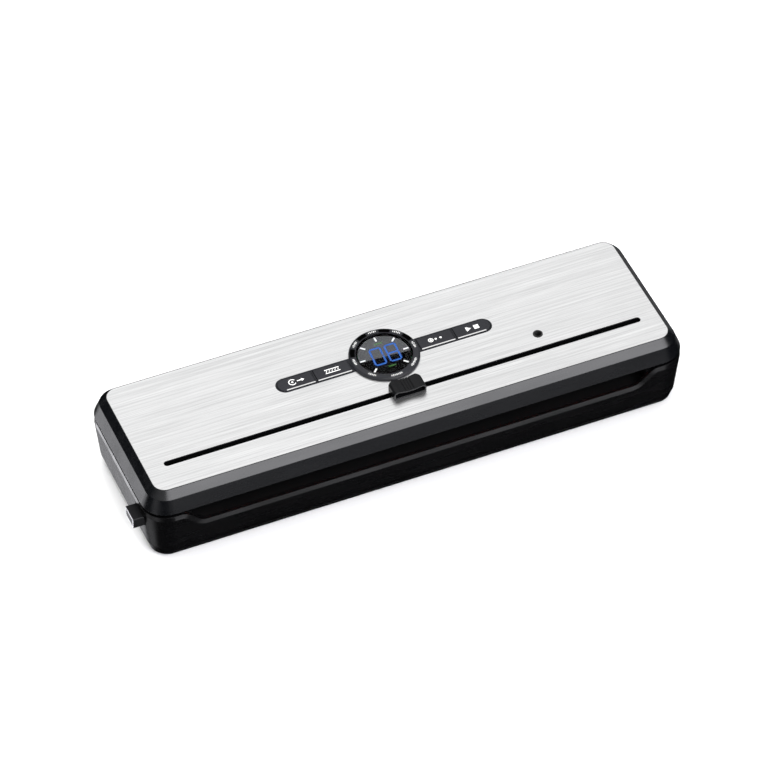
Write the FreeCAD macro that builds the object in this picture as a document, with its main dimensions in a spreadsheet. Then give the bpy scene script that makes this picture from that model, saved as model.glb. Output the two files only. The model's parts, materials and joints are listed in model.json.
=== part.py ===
import FreeCAD, Part
import math
import os
import Sketcher
from FreeCAD import Placement, Rotation, Vector

# Counter-top vacuum sealer: a base with a vacuum trough and a hinged lid with a sealing pad.
# Origin of the written parts: middle of the whole outline, latch button included, on the surface
# it rests on. The model itself is drawn round the steel panel's middle and moved along X when it
# is written. X runs along the machine, Y to the back (the hinge side), Z up, in millimetres.

os.makedirs("parts", exist_ok=True)
doc = FreeCAD.newDocument("vacuum_sealer")
sheet = doc.addObject("Spreadsheet::Sheet", "Sizes")

# ---------------------------------------------------------------- driving dimensions

SIZES = {
    # lid
    "panel_length": 355.0,
    "panel_width": 96.4,
    "panel_corner": 8.5,
    "panel_thickness": 0.8,
    "panel_lip": 0.4,
    "top_height": 57.0,
    "chamfer_out": 4.5,
    "chamfer_drop": 4.9,
    "flare_out": 3.7,
    "side_drop": 9.4,
    "lid_wall": 2.4,
    "lid_top_plate": 2.0,
    "roof_inset": 1.0,
    "inner_step": 1.8,
    "inner_plate": 2.0,
    "chamber_height": 5.2,
    "cover_fit": 0.3,
    "lid_gap": 2.8,
    # base
    "foot_height": 2.0,
    "foot_radius": 7.0,
    "cover_out": 3.2,
    "cover_height": 2.4,
    "seam_gap": 0.4,
    "bevel_height": 4.1,
    "bevel_out": 5.5,
    "rim_out": 8.6,
    "rim_bevel_drop": 3.4,
    "rim_bevel_in": 0.7,
    "base_wall": 2.8,
    "mouth_end": 27.5,
    "mouth_run": 11.0,
    "mouth_depth": 11.9,
    "mouth_corner": 9.0,
    # deck
    "deck_drop": 1.9,
    "deck_plate": 2.0,
    "deck_fit": 0.2,
    "recess_end": 20.5,
    "recess_in": 6.2,
    "recess_depth": 10.5,
    "trough_end": 27.5,
    "trough_width": 16.0,
    "trough_in": 39.2,
    "trough_depth": 9.0,
    "trough_corner": 4.0,
    "tub_corner": 5.0,
    "tub_wall": 1.6,
    "gasket_width": 4.0,
    "gasket_step": 1.2,
    "gasket_seat": 1.5,
    "lid_gasket_seat": 1.2,
    "seat_fit": 0.1,
    "gasket_gap": 0.3,
    "groove_end": 9.5,
    "groove_width": 5.0,
    "groove_depth": 5.0,
    # heater and pad
    "heater_end": 20.5,
    "heater_width": 8.0,
    "heater_in": 11.2,
    "heater_height": 2.4,
    "heater_seat": 0.8,
    "strip_width": 3.0,
    "strip_thickness": 0.25,
    "tape_thickness": 0.15,
    "pad_gap": 0.4,
    "pad_seat": 2.4,
    # cutter
    "slot_end": 13.0,
    "slot_width": 4.4,
    "slot_in": 21.6,
    "cutter_x": 1.2,
    "knob_length": 22.0,
    "knob_front": 5.3,
    "knob_back": 6.5,
    "knob_height": 5.6,
    "knob_lift": 0.3,
    "knob_corner": 3.1,
    "knob_dip": 1.1,
    "brow": 0.8,
    "lip": 0.7,
    "scoop_depth": 4.0,
    "rib_pitch": 1.9,
    "rib_depth": 0.4,
    "stem_length": 12.0,
    "slide_fit": 0.3,
    "guide_margin": 2.3,
    # display and buttons
    "dial_y": 7.6,
    "dial_radius": 23.0,
    "window_radius": 17.7,
    "lens_seat_width": 0.8,
    "lens_seat_depth": 1.4,
    "lens_thickness": 1.1,
    "board_drop": 1.3,
    "control_board": 1.4,
    "dial_overlap": 2.0,
    "dial_rise": 2.0,
    "strip_length": 149.6,
    "strip_height": 12.8,
    "strip_split": 48.5,
    "frame_rim": 0.7,
    "button_fit": 0.35,
    "button_rise": 0.5,
    "button_round": 0.5,
    # accessory vacuum port
    "port_end": 79.3,
    "port_y": -13.2,
    "port_radius": 2.2,
    "port_wall": 1.0,
    # hinge
    "hinge_share": 0.338,
    "hinge_back": 3.8,
    "hinge_z": 45.0,
    "knuckle_radius": 3.4,
    "knuckle_half": 6.0,
    "knuckle_length": 9.0,
    "hinge_gap": 0.5,
    "pin_radius": 1.5,
    "pin_fit": 0.05,
    # latch
    "latch_in": 11.8,
    "latch_z": 30.0,
    "latch_button_width": 13.5,
    "latch_button_height": 8.0,
    "latch_button_corner": 0.9,
    "latch_button_tail": 8.0,
    "latch_proud": 7.3,
    "latch_travel": 3.0,
    "latch_bar_height": 4.6,
    "latch_bar_width": 5.0,
    "latch_bar_drop": 1.2,
    "latch_window_fit": 0.4,
    "insert_sink": 0.2,
    "insert_thickness": 0.8,
    "latch_rib_end": 27.5,
    "spring_length": 12.0,
    "spring_radius": 1.8,
    "spring_wire": 0.3,
    "spring_z": 26.5,
    "catch_end": 6.5,
    "catch_width": 8.0,
    "catch_thickness": 2.4,
    # screws
    "base_screw_in_x": 22.0,
    "base_screw_in_y": 14.0,
    "base_screw_front_in": 20.0,
    "middle_screw_share": 0.1745,
    "base_boss_radius": 3.6,
    "base_screw_head": 2.9,
    "base_head_height": 1.2,
    "base_screw_shank": 1.25,
    "base_screw_length": 8.5,
    "lid_screw_in_x": 10.0,
    "lid_screw_in_y": 8.0,
    "lid_screw_rear_in": 30.0,
    "lid_boss_radius": 3.2,
    "lid_screw_head": 2.5,
    "lid_head_height": 1.0,
    "lid_screw_shank": 1.15,
    "lid_screw_length": 6.0,
    "screw_slot": 0.7,
    "screw_fit": 0.2,
    "foot_in_x": 18.0,
    "foot_in_y": 8.0,
    # pump and hose
    "motor_share": 0.0563,
    "motor_in": 20.2,
    "motor_lift": 0.8,
    "motor_radius": 12.0,
    "motor_length": 30.0,
    "motor_wall": 1.2,
    "shaft_radius": 1.2,
    "pump_length": 26.0,
    "pump_height": 20.0,
    "pump_gap": 0.5,
    "pump_cap": 2.5,
    "crank_radius": 8.0,
    "pump_port_radius": 2.9,
    "pump_port_length": 6.0,
    "nozzle_end": 81.5,
    "hose_radius": 4.4,
    "hose_wall": 1.4,
    "hose_bend": 7.0,
    # power board and inlet
    "board_share": 0.31,
    "board_length_share": 0.2,
    "board_in": 22.2,
    "board_width": 44.0,
    "board_thickness": 1.6,
    "board_lift": 5.0,
    "inlet_share": 0.259,
    "inlet_z": 20.0,
    "inlet_length": 24.0,
    "inlet_height": 14.0,
    "inlet_depth": 20.0,
    "inlet_wall": 1.8,
    "inlet_fit": 0.4,
    "inlet_pin_radius": 1.2,
    "inlet_pin_pitch": 4.3,
}

for row, (alias, number) in enumerate(SIZES.items(), start=1):
    sheet.set(f"A{row}", alias)
    sheet.set(f"B{row}", str(number))
    sheet.setAlias(f"B{row}", alias)
doc.recompute()


class Size:
    """A length that carries both its value and the spreadsheet expression it comes from."""

    def __init__(self, value, text):
        self.value = value
        self.text = text

    def __add__(self, other):
        other = as_size(other)
        return Size(self.value + other.value, f"({self.text} + {other.text})")

    def __radd__(self, other):
        return as_size(other) + self

    def __sub__(self, other):
        other = as_size(other)
        return Size(self.value - other.value, f"({self.text} - {other.text})")

    def __rsub__(self, other):
        return as_size(other) - self

    def __mul__(self, other):
        other = as_size(other)
        return Size(self.value * other.value, f"({self.text} * {other.text})")

    def __rmul__(self, other):
        return as_size(other) * self

    def __truediv__(self, other):
        other = as_size(other)
        return Size(self.value / other.value, f"({self.text} / {other.text})")

    def __neg__(self):
        return Size(-self.value, f"(0 - {self.text})")


def as_size(number):
    return number if isinstance(number, Size) else Size(float(number), f"{float(number):.6f}")


def size(alias):
    return Size(float(sheet.get(alias)), f"Sizes.{alias}")


ZERO = as_size(0)
NODES = {}


# ---------------------------------------------------------------- derived sizes

panel_length = size("panel_length")
panel_width = size("panel_width")
panel_corner = size("panel_corner")
top_z = size("top_height")
panel_under_z = top_z - size("panel_thickness")
lid_shoulder_z = top_z - size("chamfer_drop")
lid_edge_z = lid_shoulder_z - size("side_drop")
lid_edge_out = size("chamfer_out") + size("flare_out")
lid_roof_z = panel_under_z - size("lid_top_plate")
lid_slope = size("flare_out") / size("side_drop")

cover_z = size("foot_height")
cover_top_z = cover_z + size("cover_height")
housing_z = cover_top_z + size("seam_gap")
bevel_top_z = housing_z + size("bevel_height")
rim_z = lid_edge_z - size("lid_gap")
bevel_slope = (size("bevel_out") - size("cover_out")) / (bevel_top_z - cover_z)
wall_slope = (size("rim_out") - size("bevel_out")) / (rim_z - bevel_top_z)
mouth_z = rim_z - size("mouth_depth")

deck_z = rim_z - size("deck_drop")
deck_under_z = deck_z - size("deck_plate")
deck_out = size("rim_out") - size("base_wall") - wall_slope * (rim_z - deck_under_z) - size("deck_fit")
recess_z = deck_z - size("recess_depth")
trough_floor_z = deck_z - size("trough_depth")
trough_corner = size("trough_corner")
seat_fit = size("seat_fit")
nozzle_radius = size("pump_port_radius")
nozzle_hose_z = trough_floor_z - size("tub_wall") * 2
recess_half = panel_length / 2 - size("recess_end")
recess_back = panel_width / 2 - size("recess_in")
mouth_half = panel_length / 2 - size("mouth_end")
trough_length = panel_length - size("trough_end") * 2
trough_y = size("trough_in") - panel_width / 2
groove_length = panel_length - size("groove_end") * 2
heater_length = panel_length - size("heater_end") * 2
heater_y = size("heater_in") - panel_width / 2
slot_length = panel_length - size("slot_end") * 2
slot_y = size("slot_in") - panel_width / 2
port_x = panel_length / 2 - size("port_end")
hinge_x = panel_length * size("hinge_share")
hinge_y = panel_width / 2 + size("hinge_back")
latch_y = size("latch_in") - panel_width / 2
latch_rib_x = panel_length / 2 - size("latch_rib_end")
catch_x = panel_length / 2 - size("catch_end")
inlet_x = panel_length * size("inlet_share")
inlet_z = size("inlet_z")
nozzle_x = panel_length / 2 - size("nozzle_end")
motor_x = panel_length * size("motor_share")
motor_y = panel_width / 2 - size("motor_in")
motor_z = cover_top_z + size("motor_lift") + size("motor_radius")
pump_port_x = motor_x - size("pump_gap") - size("pump_length") / 4
pump_port_y = motor_y - size("pump_length") / 2 - size("pump_cap") - size("pump_port_length")
pump_port_z = motor_z - size("motor_radius") / 2
middle_screw_x = panel_length * size("middle_screw_share")

inner_z = lid_edge_z + size("inner_step")
inner_top_z = inner_z + size("inner_plate")
roof_out = lid_edge_out - size("lid_wall") - size("roof_inset") - lid_slope * (lid_roof_z - lid_edge_z)
inside_slope = (lid_edge_out - size("lid_wall") - roof_out) / (lid_roof_z - lid_edge_z)
inner_out = lid_edge_out - size("lid_wall") - inside_slope * (inner_top_z - lid_edge_z) - size("cover_fit")
seal_z = (deck_z + inner_z) / 2
chamber_height = size("chamber_height")

dial_y = size("dial_y")
neck_radius = size("dial_radius") - size("dial_overlap")
button_top_z = top_z + size("button_rise")
board_top_z = lid_roof_z - size("board_drop")


def wall_out(z):
    """Outset of the housing's side wall at a height, from the panel's outline."""
    return size("rim_out") - wall_slope * (rim_z - z)


# The latch button stands out at the left end only, so the outline's middle lies left of the panel's.
latch_end_out = wall_out(size("latch_z")) + size("latch_proud")
plain_end_out = wall_out(rim_z - size("rim_bevel_drop"))
origin_shift = (latch_end_out - plain_end_out) / 2


# ---------------------------------------------------------------- sketches and features


def new_body(label):
    body = doc.addObject("PartDesign::Body", label)
    body.Label = label
    return body


def node(label, feature):
    """Name the object that makes one sub-part, so that it is checked and written."""
    feature.Label = label
    NODES[label] = feature
    return feature


def sketch_on(body, name, at, plane="XY_Plane"):
    """A sketch parallel to one of the body's own planes, its origin moved to at (sketch x, y, normal)."""
    sketch = body.newObject("Sketcher::SketchObject", f"{body.Name}_{name}")
    support = next(f for f in body.Origin.OriginFeatures if f.Role == plane)
    sketch.AttachmentSupport = [(support, "")]
    sketch.MapMode = "FlatFace"
    for axis, place in zip("xyz", at):
        sketch.AttachmentOffset.Base = Vector(*[as_size(p).value for p in at])
        sketch.setExpression(f".AttachmentOffset.Base.{axis}", as_size(place).text)
    return sketch


def constrain(sketch, kind, *args, length=None):
    """Add one constraint, bound to the sheet where it has a length."""
    if length is None:
        return sketch.addConstraint(Sketcher.Constraint(kind, *args))
    index = sketch.addConstraint(Sketcher.Constraint(kind, *args, length.value))
    sketch.setExpression(f"Constraints[{index}]", length.text)
    return index


def rounded_rectangle(sketch, length, width, corner):
    """A rectangle with round corners, centred on the sketch's origin."""
    length, width, corner = as_size(length), as_size(width), as_size(corner)
    hx, hy, r = length.value / 2, width.value / 2, corner.value
    corners = [(-1, -1, 180), (1, -1, 270), (1, 1, 0), (-1, 1, 90)]
    for (ax, ay, _), (bx, by, _) in zip(corners, corners[1:] + corners[:1]):
        ends = []
        for sx, sy, ox, oy in ((ax, ay, bx, by), (bx, by, ax, ay)):
            x = sx * hx - (sx * r if sx != ox else 0)
            y = sy * hy - (sy * r if sy != oy else 0)
            ends.append(Vector(x, y, 0))
        sketch.addGeometry(Part.LineSegment(*ends))
    for sx, sy, start in corners:
        circle = Part.Circle(Vector(sx * (hx - r), sy * (hy - r), 0), Vector(0, 0, 1), r)
        sketch.addGeometry(Part.ArcOfCircle(circle, math.radians(start), math.radians(start + 90)))
    for side in range(4):
        constrain(sketch, "Tangent", side, 1, 4 + side, 2)
        constrain(sketch, "Tangent", side, 2, 4 + (side + 1) % 4, 1)
    for side in (0, 2):
        constrain(sketch, "Horizontal", side)
        constrain(sketch, "Vertical", side + 1)
    for arc in (5, 6, 7):
        constrain(sketch, "Equal", 4, arc)
    constrain(sketch, "Radius", 4, length=corner)
    constrain(sketch, "Symmetric", 4, 3, 6, 3, -1, 1)
    constrain(sketch, "DistanceX", 4, 3, 5, 3, length=length - corner * 2)
    constrain(sketch, "DistanceY", 5, 3, 6, 3, length=width - corner * 2)
    return sketch


def stadium(sketch, length, width):
    """A slot outline with round ends, centred on the sketch's origin."""
    length, width = as_size(length), as_size(width)
    r = width.value / 2
    half = length.value / 2 - r
    for sx, start in ((-1, 90), (1, 270)):
        circle = Part.Circle(Vector(sx * half, 0, 0), Vector(0, 0, 1), r)
        sketch.addGeometry(Part.ArcOfCircle(circle, math.radians(start), math.radians(start + 180)))
    sketch.addGeometry(Part.LineSegment(Vector(-half, -r, 0), Vector(half, -r, 0)))
    sketch.addGeometry(Part.LineSegment(Vector(half, r, 0), Vector(-half, r, 0)))
    constrain(sketch, "Tangent", 0, 2, 2, 1)
    constrain(sketch, "Tangent", 2, 2, 1, 1)
    constrain(sketch, "Tangent", 1, 2, 3, 1)
    constrain(sketch, "Tangent", 3, 2, 0, 1)
    constrain(sketch, "Equal", 0, 1)
    constrain(sketch, "Radius", 0, length=width / 2)
    constrain(sketch, "Symmetric", 0, 3, 1, 3, -1, 1)
    constrain(sketch, "PointOnObject", 0, 3, -1)
    constrain(sketch, "DistanceX", 0, 3, 1, 3, length=length - width)
    return sketch


def circle(sketch, radius):
    radius = as_size(radius)
    sketch.addGeometry(Part.Circle(Vector(0, 0, 0), Vector(0, 0, 1), radius.value))
    constrain(sketch, "Coincident", 0, 3, -1, 1)
    constrain(sketch, "Radius", 0, length=radius)
    return sketch


def polygon(sketch, points):
    """A closed outline through points, each pinned to the sketch's origin."""
    points = [(as_size(x), as_size(y)) for x, y in points]
    vectors = [Vector(x.value, y.value, 0) for x, y in points]
    count = len(points)
    for i in range(count):
        sketch.addGeometry(Part.LineSegment(vectors[i], vectors[(i + 1) % count]))
    for i in range(count):
        constrain(sketch, "Coincident", i, 2, (i + 1) % count, 1)
    for i, (x, y) in enumerate(points):
        constrain(sketch, "DistanceX", -1, 1, i, 1, length=x)
        constrain(sketch, "DistanceY", -1, 1, i, 1, length=y)
    return sketch


def rectangle(sketch, length, width):
    """A plain rectangle, centred on the sketch's origin."""
    hx, hy = as_size(length) / 2, as_size(width) / 2
    return polygon(sketch, [(-hx, -hy), (hx, -hy), (hx, hy), (-hx, hy)])


def housing_section(body, name, outset, z):
    """A rounded rectangle that follows the panel's outline at an outset."""
    outset = as_size(outset)
    sketch = sketch_on(body, name, (ZERO, ZERO, z))
    return rounded_rectangle(
        sketch, panel_length + outset * 2, panel_width + outset * 2, panel_corner + outset
    )


def pad(body, sketch, length, down=False, both=False):
    feature = body.newObject("PartDesign::Pad", f"{sketch.Name}_pad")
    feature.Profile = sketch
    feature.setExpression("Length", as_size(length).text)
    feature.Reversed = down
    feature.Midplane = both
    return feature


def pocket(body, sketch, length=None, up=False, both=False):
    """Cut along the sketch's normal: downwards unless up, right through where no length is given."""
    feature = body.newObject("PartDesign::Pocket", f"{sketch.Name}_pocket")
    feature.Profile = sketch
    if length is None:
        feature.Type = "ThroughAll"
    else:
        feature.setExpression("Length", as_size(length).text)
    feature.Reversed = up
    feature.Midplane = both
    return feature


def loft(body, sections, subtract=False):
    kind = "SubtractiveLoft" if subtract else "AdditiveLoft"
    feature = body.newObject(f"PartDesign::{kind}", f"{sections[0].Name}_loft")
    feature.Profile = sections[0]
    feature.Sections = sections[1:]
    feature.Ruled = True
    return feature


def round_edges(body, radius, chosen, kind="Fillet"):
    """Fillet or chamfer the edges of the body's tip for which chosen(edge) is true."""
    doc.recompute()
    tip = body.Tip
    names = [f"Edge{i}" for i, edge in enumerate(tip.Shape.Edges, start=1) if chosen(edge)]
    feature = body.newObject(f"PartDesign::{kind}", f"{tip.Name}_{kind.lower()}")
    feature.Base = (tip, names)
    feature.setExpression("Radius" if kind == "Fillet" else "Size", as_size(radius).text)
    return feature


def at_height(z, tolerance=0.01):
    """A test for edges that lie flat at one height."""
    z = as_size(z).value
    return lambda edge: abs(edge.BoundBox.ZMin - z) < tolerance and abs(edge.BoundBox.ZMax - z) < tolerance


def place(feature, x, y, z):
    for axis, number in zip("xyz", (x, y, z)):
        feature.setExpression(f".Placement.Base.{axis}", as_size(number).text)
    return feature


def box(name, length, width, height, x, y, z):
    """A box centred on x and y that stands on z."""
    length, width, height = as_size(length), as_size(width), as_size(height)
    feature = doc.addObject("Part::Box", name)
    feature.setExpression("Length", length.text)
    feature.setExpression("Width", width.text)
    feature.setExpression("Height", height.text)
    return place(feature, as_size(x) - length / 2, as_size(y) - width / 2, z)


def cylinder(name, radius, height, x, y, z, axis="z"):
    """A cylinder that starts at x, y, z and runs along one axis."""
    feature = doc.addObject("Part::Cylinder", name)
    feature.setExpression("Radius", as_size(radius).text)
    feature.setExpression("Height", as_size(height).text)
    turns = {"x": Rotation(Vector(0, 1, 0), 90), "y": Rotation(Vector(1, 0, 0), -90), "z": Rotation()}
    feature.Placement = Placement(Vector(), turns[axis])
    return place(feature, x, y, z)


def fuse(name, shapes):
    feature = doc.addObject("Part::MultiFuse", name)
    feature.Shapes = shapes
    return feature


def cut(name, base, tools):
    feature = doc.addObject("Part::Cut", name)
    feature.Base = base
    feature.Tool = tools[0] if len(tools) == 1 else fuse(f"{name}_tools", tools)
    return feature


def group(name, shapes):
    feature = doc.addObject("Part::Compound", name)
    feature.Links = shapes
    return feature


# ---------------------------------------------------------------- base


def bottom_cover():
    body = new_body("bottom_cover")
    top_out = size("cover_out") + bevel_slope * size("cover_height")
    loft(
        body,
        [
            housing_section(body, "foot", size("cover_out"), cover_z),
            housing_section(body, "seam", top_out, cover_top_z),
        ],
    )
    lip_out = top_out - size("base_wall") - size("deck_fit")
    pad(body, housing_section(body, "lip", lip_out, cover_top_z), 2.0)
    pocket(body, housing_section(body, "lip_inside", lip_out - 1.6, cover_top_z + 2.0), 2.0)
    for i, (x, y) in enumerate(base_screw_places()):
        head = sketch_on(body, f"head_{i}", (x, y, cover_z))
        seat_depth = size("base_head_height") + size("screw_fit")
        pocket(body, circle(head, size("base_screw_head") + size("screw_fit")), seat_depth, up=True)
        hole = sketch_on(body, f"hole_{i}", (x, y, cover_z))
        pocket(body, circle(hole, size("base_screw_shank") + size("screw_fit")), up=True)
    node("bottom_cover", body)


def base_screw_places():
    x = panel_length / 2 - size("base_screw_in_x")
    y = panel_width / 2 - size("base_screw_in_y")
    front = size("base_screw_front_in") - panel_width / 2
    return [(-x, front), (x, front), (-x, y), (x, y), (-middle_screw_x, y), (middle_screw_x, y)]


def foot_places():
    x = panel_length / 2 - size("foot_in_x")
    y = panel_width / 2 - size("foot_in_y")
    return [(sx * x, sy * y) for sx in (-1, 1) for sy in (-1, 1)]


def rubber_feet():
    feet = []
    for i, (x, y) in enumerate(foot_places()):
        feet.append(cylinder(f"foot_{i}", size("foot_radius"), size("foot_height"), x, y, 0))
    node("rubber_feet", group("rubber_feet", feet))


def base_housing():
    body = new_body("base_housing")
    start_out = size("cover_out") + bevel_slope * (housing_z - cover_z)
    loft(
        body,
        [
            housing_section(body, "seam", start_out, housing_z),
            housing_section(body, "bevel", size("bevel_out"), bevel_top_z),
            housing_section(body, "rim", size("rim_out"), rim_z),
        ],
    )
    wall = size("base_wall")
    loft(
        body,
        [
            housing_section(body, "seam_inside", start_out - wall, housing_z),
            housing_section(body, "bevel_inside", size("bevel_out") - wall, bevel_top_z),
            housing_section(body, "rim_inside", size("rim_out") - wall, rim_z),
        ],
        subtract=True,
    )
    # The bag mouth: the front rim dips between two sloping ends.
    half, run = mouth_half, size("mouth_run")
    front = panel_width / 2 + size("rim_out") + 1
    mouth = sketch_on(body, "mouth", (ZERO, ZERO, front), plane="XZ_Plane")
    polygon(
        mouth,
        [
            (-half, mouth_z),
            (half, mouth_z),
            (half + run, rim_z),
            (half + run, rim_z + 2),
            (-half - run, rim_z + 2),
            (-half - run, rim_z),
        ],
    )
    pocket(body, mouth, 12)

    def mouth_corner(edge):
        # the four short edges across the front wall where the dip bends
        span = edge.BoundBox
        level = min(abs(span.ZMin - mouth_z.value), abs(span.ZMin - rim_z.value)) < 0.01
        flat = span.ZLength < 0.01 and span.XLength < 0.01
        near = min(abs(abs(span.XMin) - half.value), abs(abs(span.XMin) - (half + run).value)) < 0.01
        return level and flat and near and span.YMax < 0

    round_edges(body, size("mouth_corner"), mouth_corner)

    # The rim bevel follows the whole outer top edge, down into the mouth and up again.
    doc.recompute()
    tip = body.Tip

    def rim_edge(edge):
        middle = edge.valueAt((edge.FirstParameter + edge.LastParameter) / 2)
        if middle.z < mouth_z.value - 0.5:
            return False
        for vertex in edge.Vertexes:
            if vertex.Point.z < mouth_z.value - 0.01:
                return False
        outset = max(abs(middle.x) - panel_length.value / 2, abs(middle.y) - panel_width.value / 2)
        limit = wall_out(as_size(middle.z)).value
        corner = panel_corner.value + limit
        dx = abs(middle.x) - (panel_length.value / 2 - panel_corner.value)
        dy = abs(middle.y) - (panel_width.value / 2 - panel_corner.value)
        if dx > 0 and dy > 0:
            return abs(math.hypot(dx, dy) - corner) < 0.3
        return abs(outset - limit) < 0.05

    names = [f"Edge{i}" for i, edge in enumerate(tip.Shape.Edges, start=1) if rim_edge(edge)]
    bevel = body.newObject("PartDesign::Chamfer", "base_housing_rim_bevel")
    bevel.Base = (tip, names)
    bevel.ChamferType = "Two distances"
    bevel.setExpression("Size", size("rim_bevel_drop").text)
    bevel.setExpression("Size2", size("rim_bevel_in").text)
    doc.recompute()
    side = panel_length.value / 2 + size("rim_out").value - size("rim_bevel_in").value
    if abs(max(v.X for v in bevel.Shape.Vertexes if v.Z > rim_z.value - 0.01) - side) > 0.05:
        bevel.FlipDirection = True

    # Hinge posts stand on the rear wall between the lid's knuckles.
    foot = rim_z - 14
    for side, name in ((-1, "left"), (1, "right")):
        x = side * hinge_x
        post = sketch_on(body, f"post_{name}", (hinge_y, size("hinge_z"), x), plane="YZ_Plane")
        reach = size("rim_out") - wall_slope * (rim_z - foot) + panel_width / 2 - hinge_y - 1
        r = size("knuckle_radius")
        polygon(post, [(-r, foot - size("hinge_z")), (reach, foot - size("hinge_z")), (r * 0.92, 0), (-r, 0)])
        pad(body, post, size("knuckle_half") * 2, both=True)
        knuckle = sketch_on(body, f"knuckle_{name}", (hinge_y, size("hinge_z"), x), plane="YZ_Plane")
        pad(body, circle(knuckle, r), size("knuckle_half") * 2, both=True)
        hole = sketch_on(body, f"pin_hole_{name}", (hinge_y, size("hinge_z"), x), plane="YZ_Plane")
        pocket(body, circle(hole, size("pin_radius") + size("pin_fit") / 2), 20, both=True)

    # Window for the latch button in the left wall, and the one for the mains inlet in the rear wall.
    clear = size("latch_window_fit") * 2
    window = sketch_on(body, "latch_window", (latch_y, size("latch_z"), -panel_length / 2), plane="YZ_Plane")
    rectangle(window, size("latch_button_width") + clear, size("latch_button_height") + clear)
    pocket(body, window, 30, both=True)
    inlet = sketch_on(body, "inlet_window", (inlet_x, inlet_z, -panel_width / 2), plane="XZ_Plane")
    rounded_rectangle(inlet, size("inlet_length"), size("inlet_height"), size("inlet_height") * 0.3)
    pocket(body, inlet, 20, both=True)
    node("base_housing", body)


def base_deck():
    body = new_body("base_deck")
    pad(body, housing_section(body, "plate", deck_out, deck_under_z), size("deck_plate"))
    wall = size("tub_wall")
    recess_front = panel_width / 2 + wall_out(recess_z - wall) - size("base_wall") - size("deck_fit")

    # Tubs hang under the plate: the recess behind the bag mouth, the cutter groove and the trough.
    tub_y = -(recess_front + recess_back - wall) / 2
    tub = sketch_on(body, "recess_tub", (ZERO, tub_y, deck_under_z))
    rectangle(tub, recess_half * 2 + wall * 2, recess_front - recess_back + wall)
    pad(body, tub, deck_under_z - recess_z + wall, down=True)
    groove = sketch_on(body, "groove_tub", (ZERO, slot_y, deck_under_z))
    rectangle(groove, groove_length + wall * 2, size("groove_width") + wall * 2)
    pad(body, groove, deck_under_z - deck_z + size("groove_depth") + wall, down=True)
    trough = sketch_on(body, "trough_tub", (ZERO, trough_y, deck_under_z))
    rounded_rectangle(trough, trough_length + wall * 2, size("trough_width") + wall * 2, size("tub_corner"))
    pad(body, trough, deck_under_z - deck_z + size("trough_depth") + wall, down=True)
    for i, (x, y) in enumerate(base_screw_places()):
        boss = sketch_on(body, f"boss_{i}", (x, y, cover_top_z))
        pad(body, circle(boss, size("base_boss_radius")), deck_under_z - cover_top_z + size("deck_fit"))
        pilot = sketch_on(body, f"pilot_{i}", (x, y, cover_top_z))
        pocket(body, circle(pilot, size("base_screw_shank") + size("pin_fit")), 12, up=True)

    recess = sketch_on(body, "recess", (ZERO, -(recess_back + 30), deck_z))
    rectangle(recess, recess_half * 2, 60)
    pocket(body, recess, size("recess_depth"))
    groove_cut = sketch_on(body, "groove", (ZERO, slot_y, deck_z))
    stadium(groove_cut, groove_length, size("groove_width"))
    pocket(body, groove_cut, size("groove_depth"))
    trough_cut = sketch_on(body, "trough", (ZERO, trough_y, deck_z))
    rounded_rectangle(trough_cut, trough_length, size("trough_width"), trough_corner)
    pocket(body, trough_cut, size("trough_depth"))

    # Seat for the gasket round the trough.
    outer = size("gasket_step") + size("gasket_width")
    seat = sketch_on(body, "gasket_seat", (ZERO, trough_y, deck_z))
    rounded_rectangle(
        seat, trough_length + (outer + seat_fit) * 2, size("trough_width") + (outer + seat_fit) * 2,
        trough_corner + seat_fit + outer
    )
    pocket(body, seat, size("gasket_seat"))
    inner_wall = sketch_on(body, "trough_lip", (ZERO, trough_y, deck_under_z))
    step = size("gasket_step")
    rounded_rectangle(
        inner_wall, trough_length + (step - seat_fit) * 2, size("trough_width") + (step - seat_fit) * 2,
        trough_corner - seat_fit + step
    )
    pad(body, inner_wall, deck_z - deck_under_z)
    trough_mouth = sketch_on(body, "trough_mouth", (ZERO, trough_y, deck_z))
    rounded_rectangle(trough_mouth, trough_length, size("trough_width"), trough_corner)
    pocket(body, trough_mouth, size("trough_depth"))

    # Seat for the heater bar, slots for the lid's catches and room for the hinge posts.
    heater_seat = sketch_on(body, "heater_seat", (ZERO, heater_y, deck_z))
    rectangle(heater_seat, heater_length + seat_fit * 2, size("heater_width") + seat_fit * 2)
    pocket(body, heater_seat, size("heater_seat"))
    for side, name in ((-1, "left"), (1, "right")):
        slot = sketch_on(body, f"catch_slot_{name}", (side * catch_x, latch_y - 0.3, deck_z))
        rectangle(slot, size("catch_width") + 1.6, size("catch_thickness") + 2.8)
        pocket(body, slot)
        notch = sketch_on(body, f"post_notch_{name}", (side * hinge_x, hinge_y + 6, deck_z + 1))
        rectangle(notch, size("knuckle_half") * 2 + 1, size("knuckle_radius") * 2 + 13)
        pocket(body, notch, 10)
    rib = sketch_on(body, "spring_rib", (latch_rib_x + 1, latch_y + 6.5, deck_under_z))
    pad(body, rectangle(rib, 2, 7.0), deck_under_z - size("spring_z") + 2.4, down=True)
    nozzle = sketch_on(body, "nozzle_hole", (nozzle_x, trough_y, deck_z))
    pocket(body, circle(nozzle, nozzle_radius + size("slide_fit") / 3))
    node("base_deck", body)


def gasket(label, z_low, z_high):
    """A foam ring round the vacuum trough."""
    body = new_body(label)
    step, width = size("gasket_step"), size("gasket_width")
    outer = step + width
    ring = sketch_on(body, "outer", (ZERO, trough_y, z_low))
    rounded_rectangle(
        ring, trough_length + outer * 2, size("trough_width") + outer * 2, trough_corner + outer
    )
    pad(body, ring, z_high - z_low)
    hole = sketch_on(body, "inner", (ZERO, trough_y, z_high))
    rounded_rectangle(hole, trough_length + step * 2, size("trough_width") + step * 2, trough_corner + step)
    pocket(body, hole)
    node(label, body)


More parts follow.
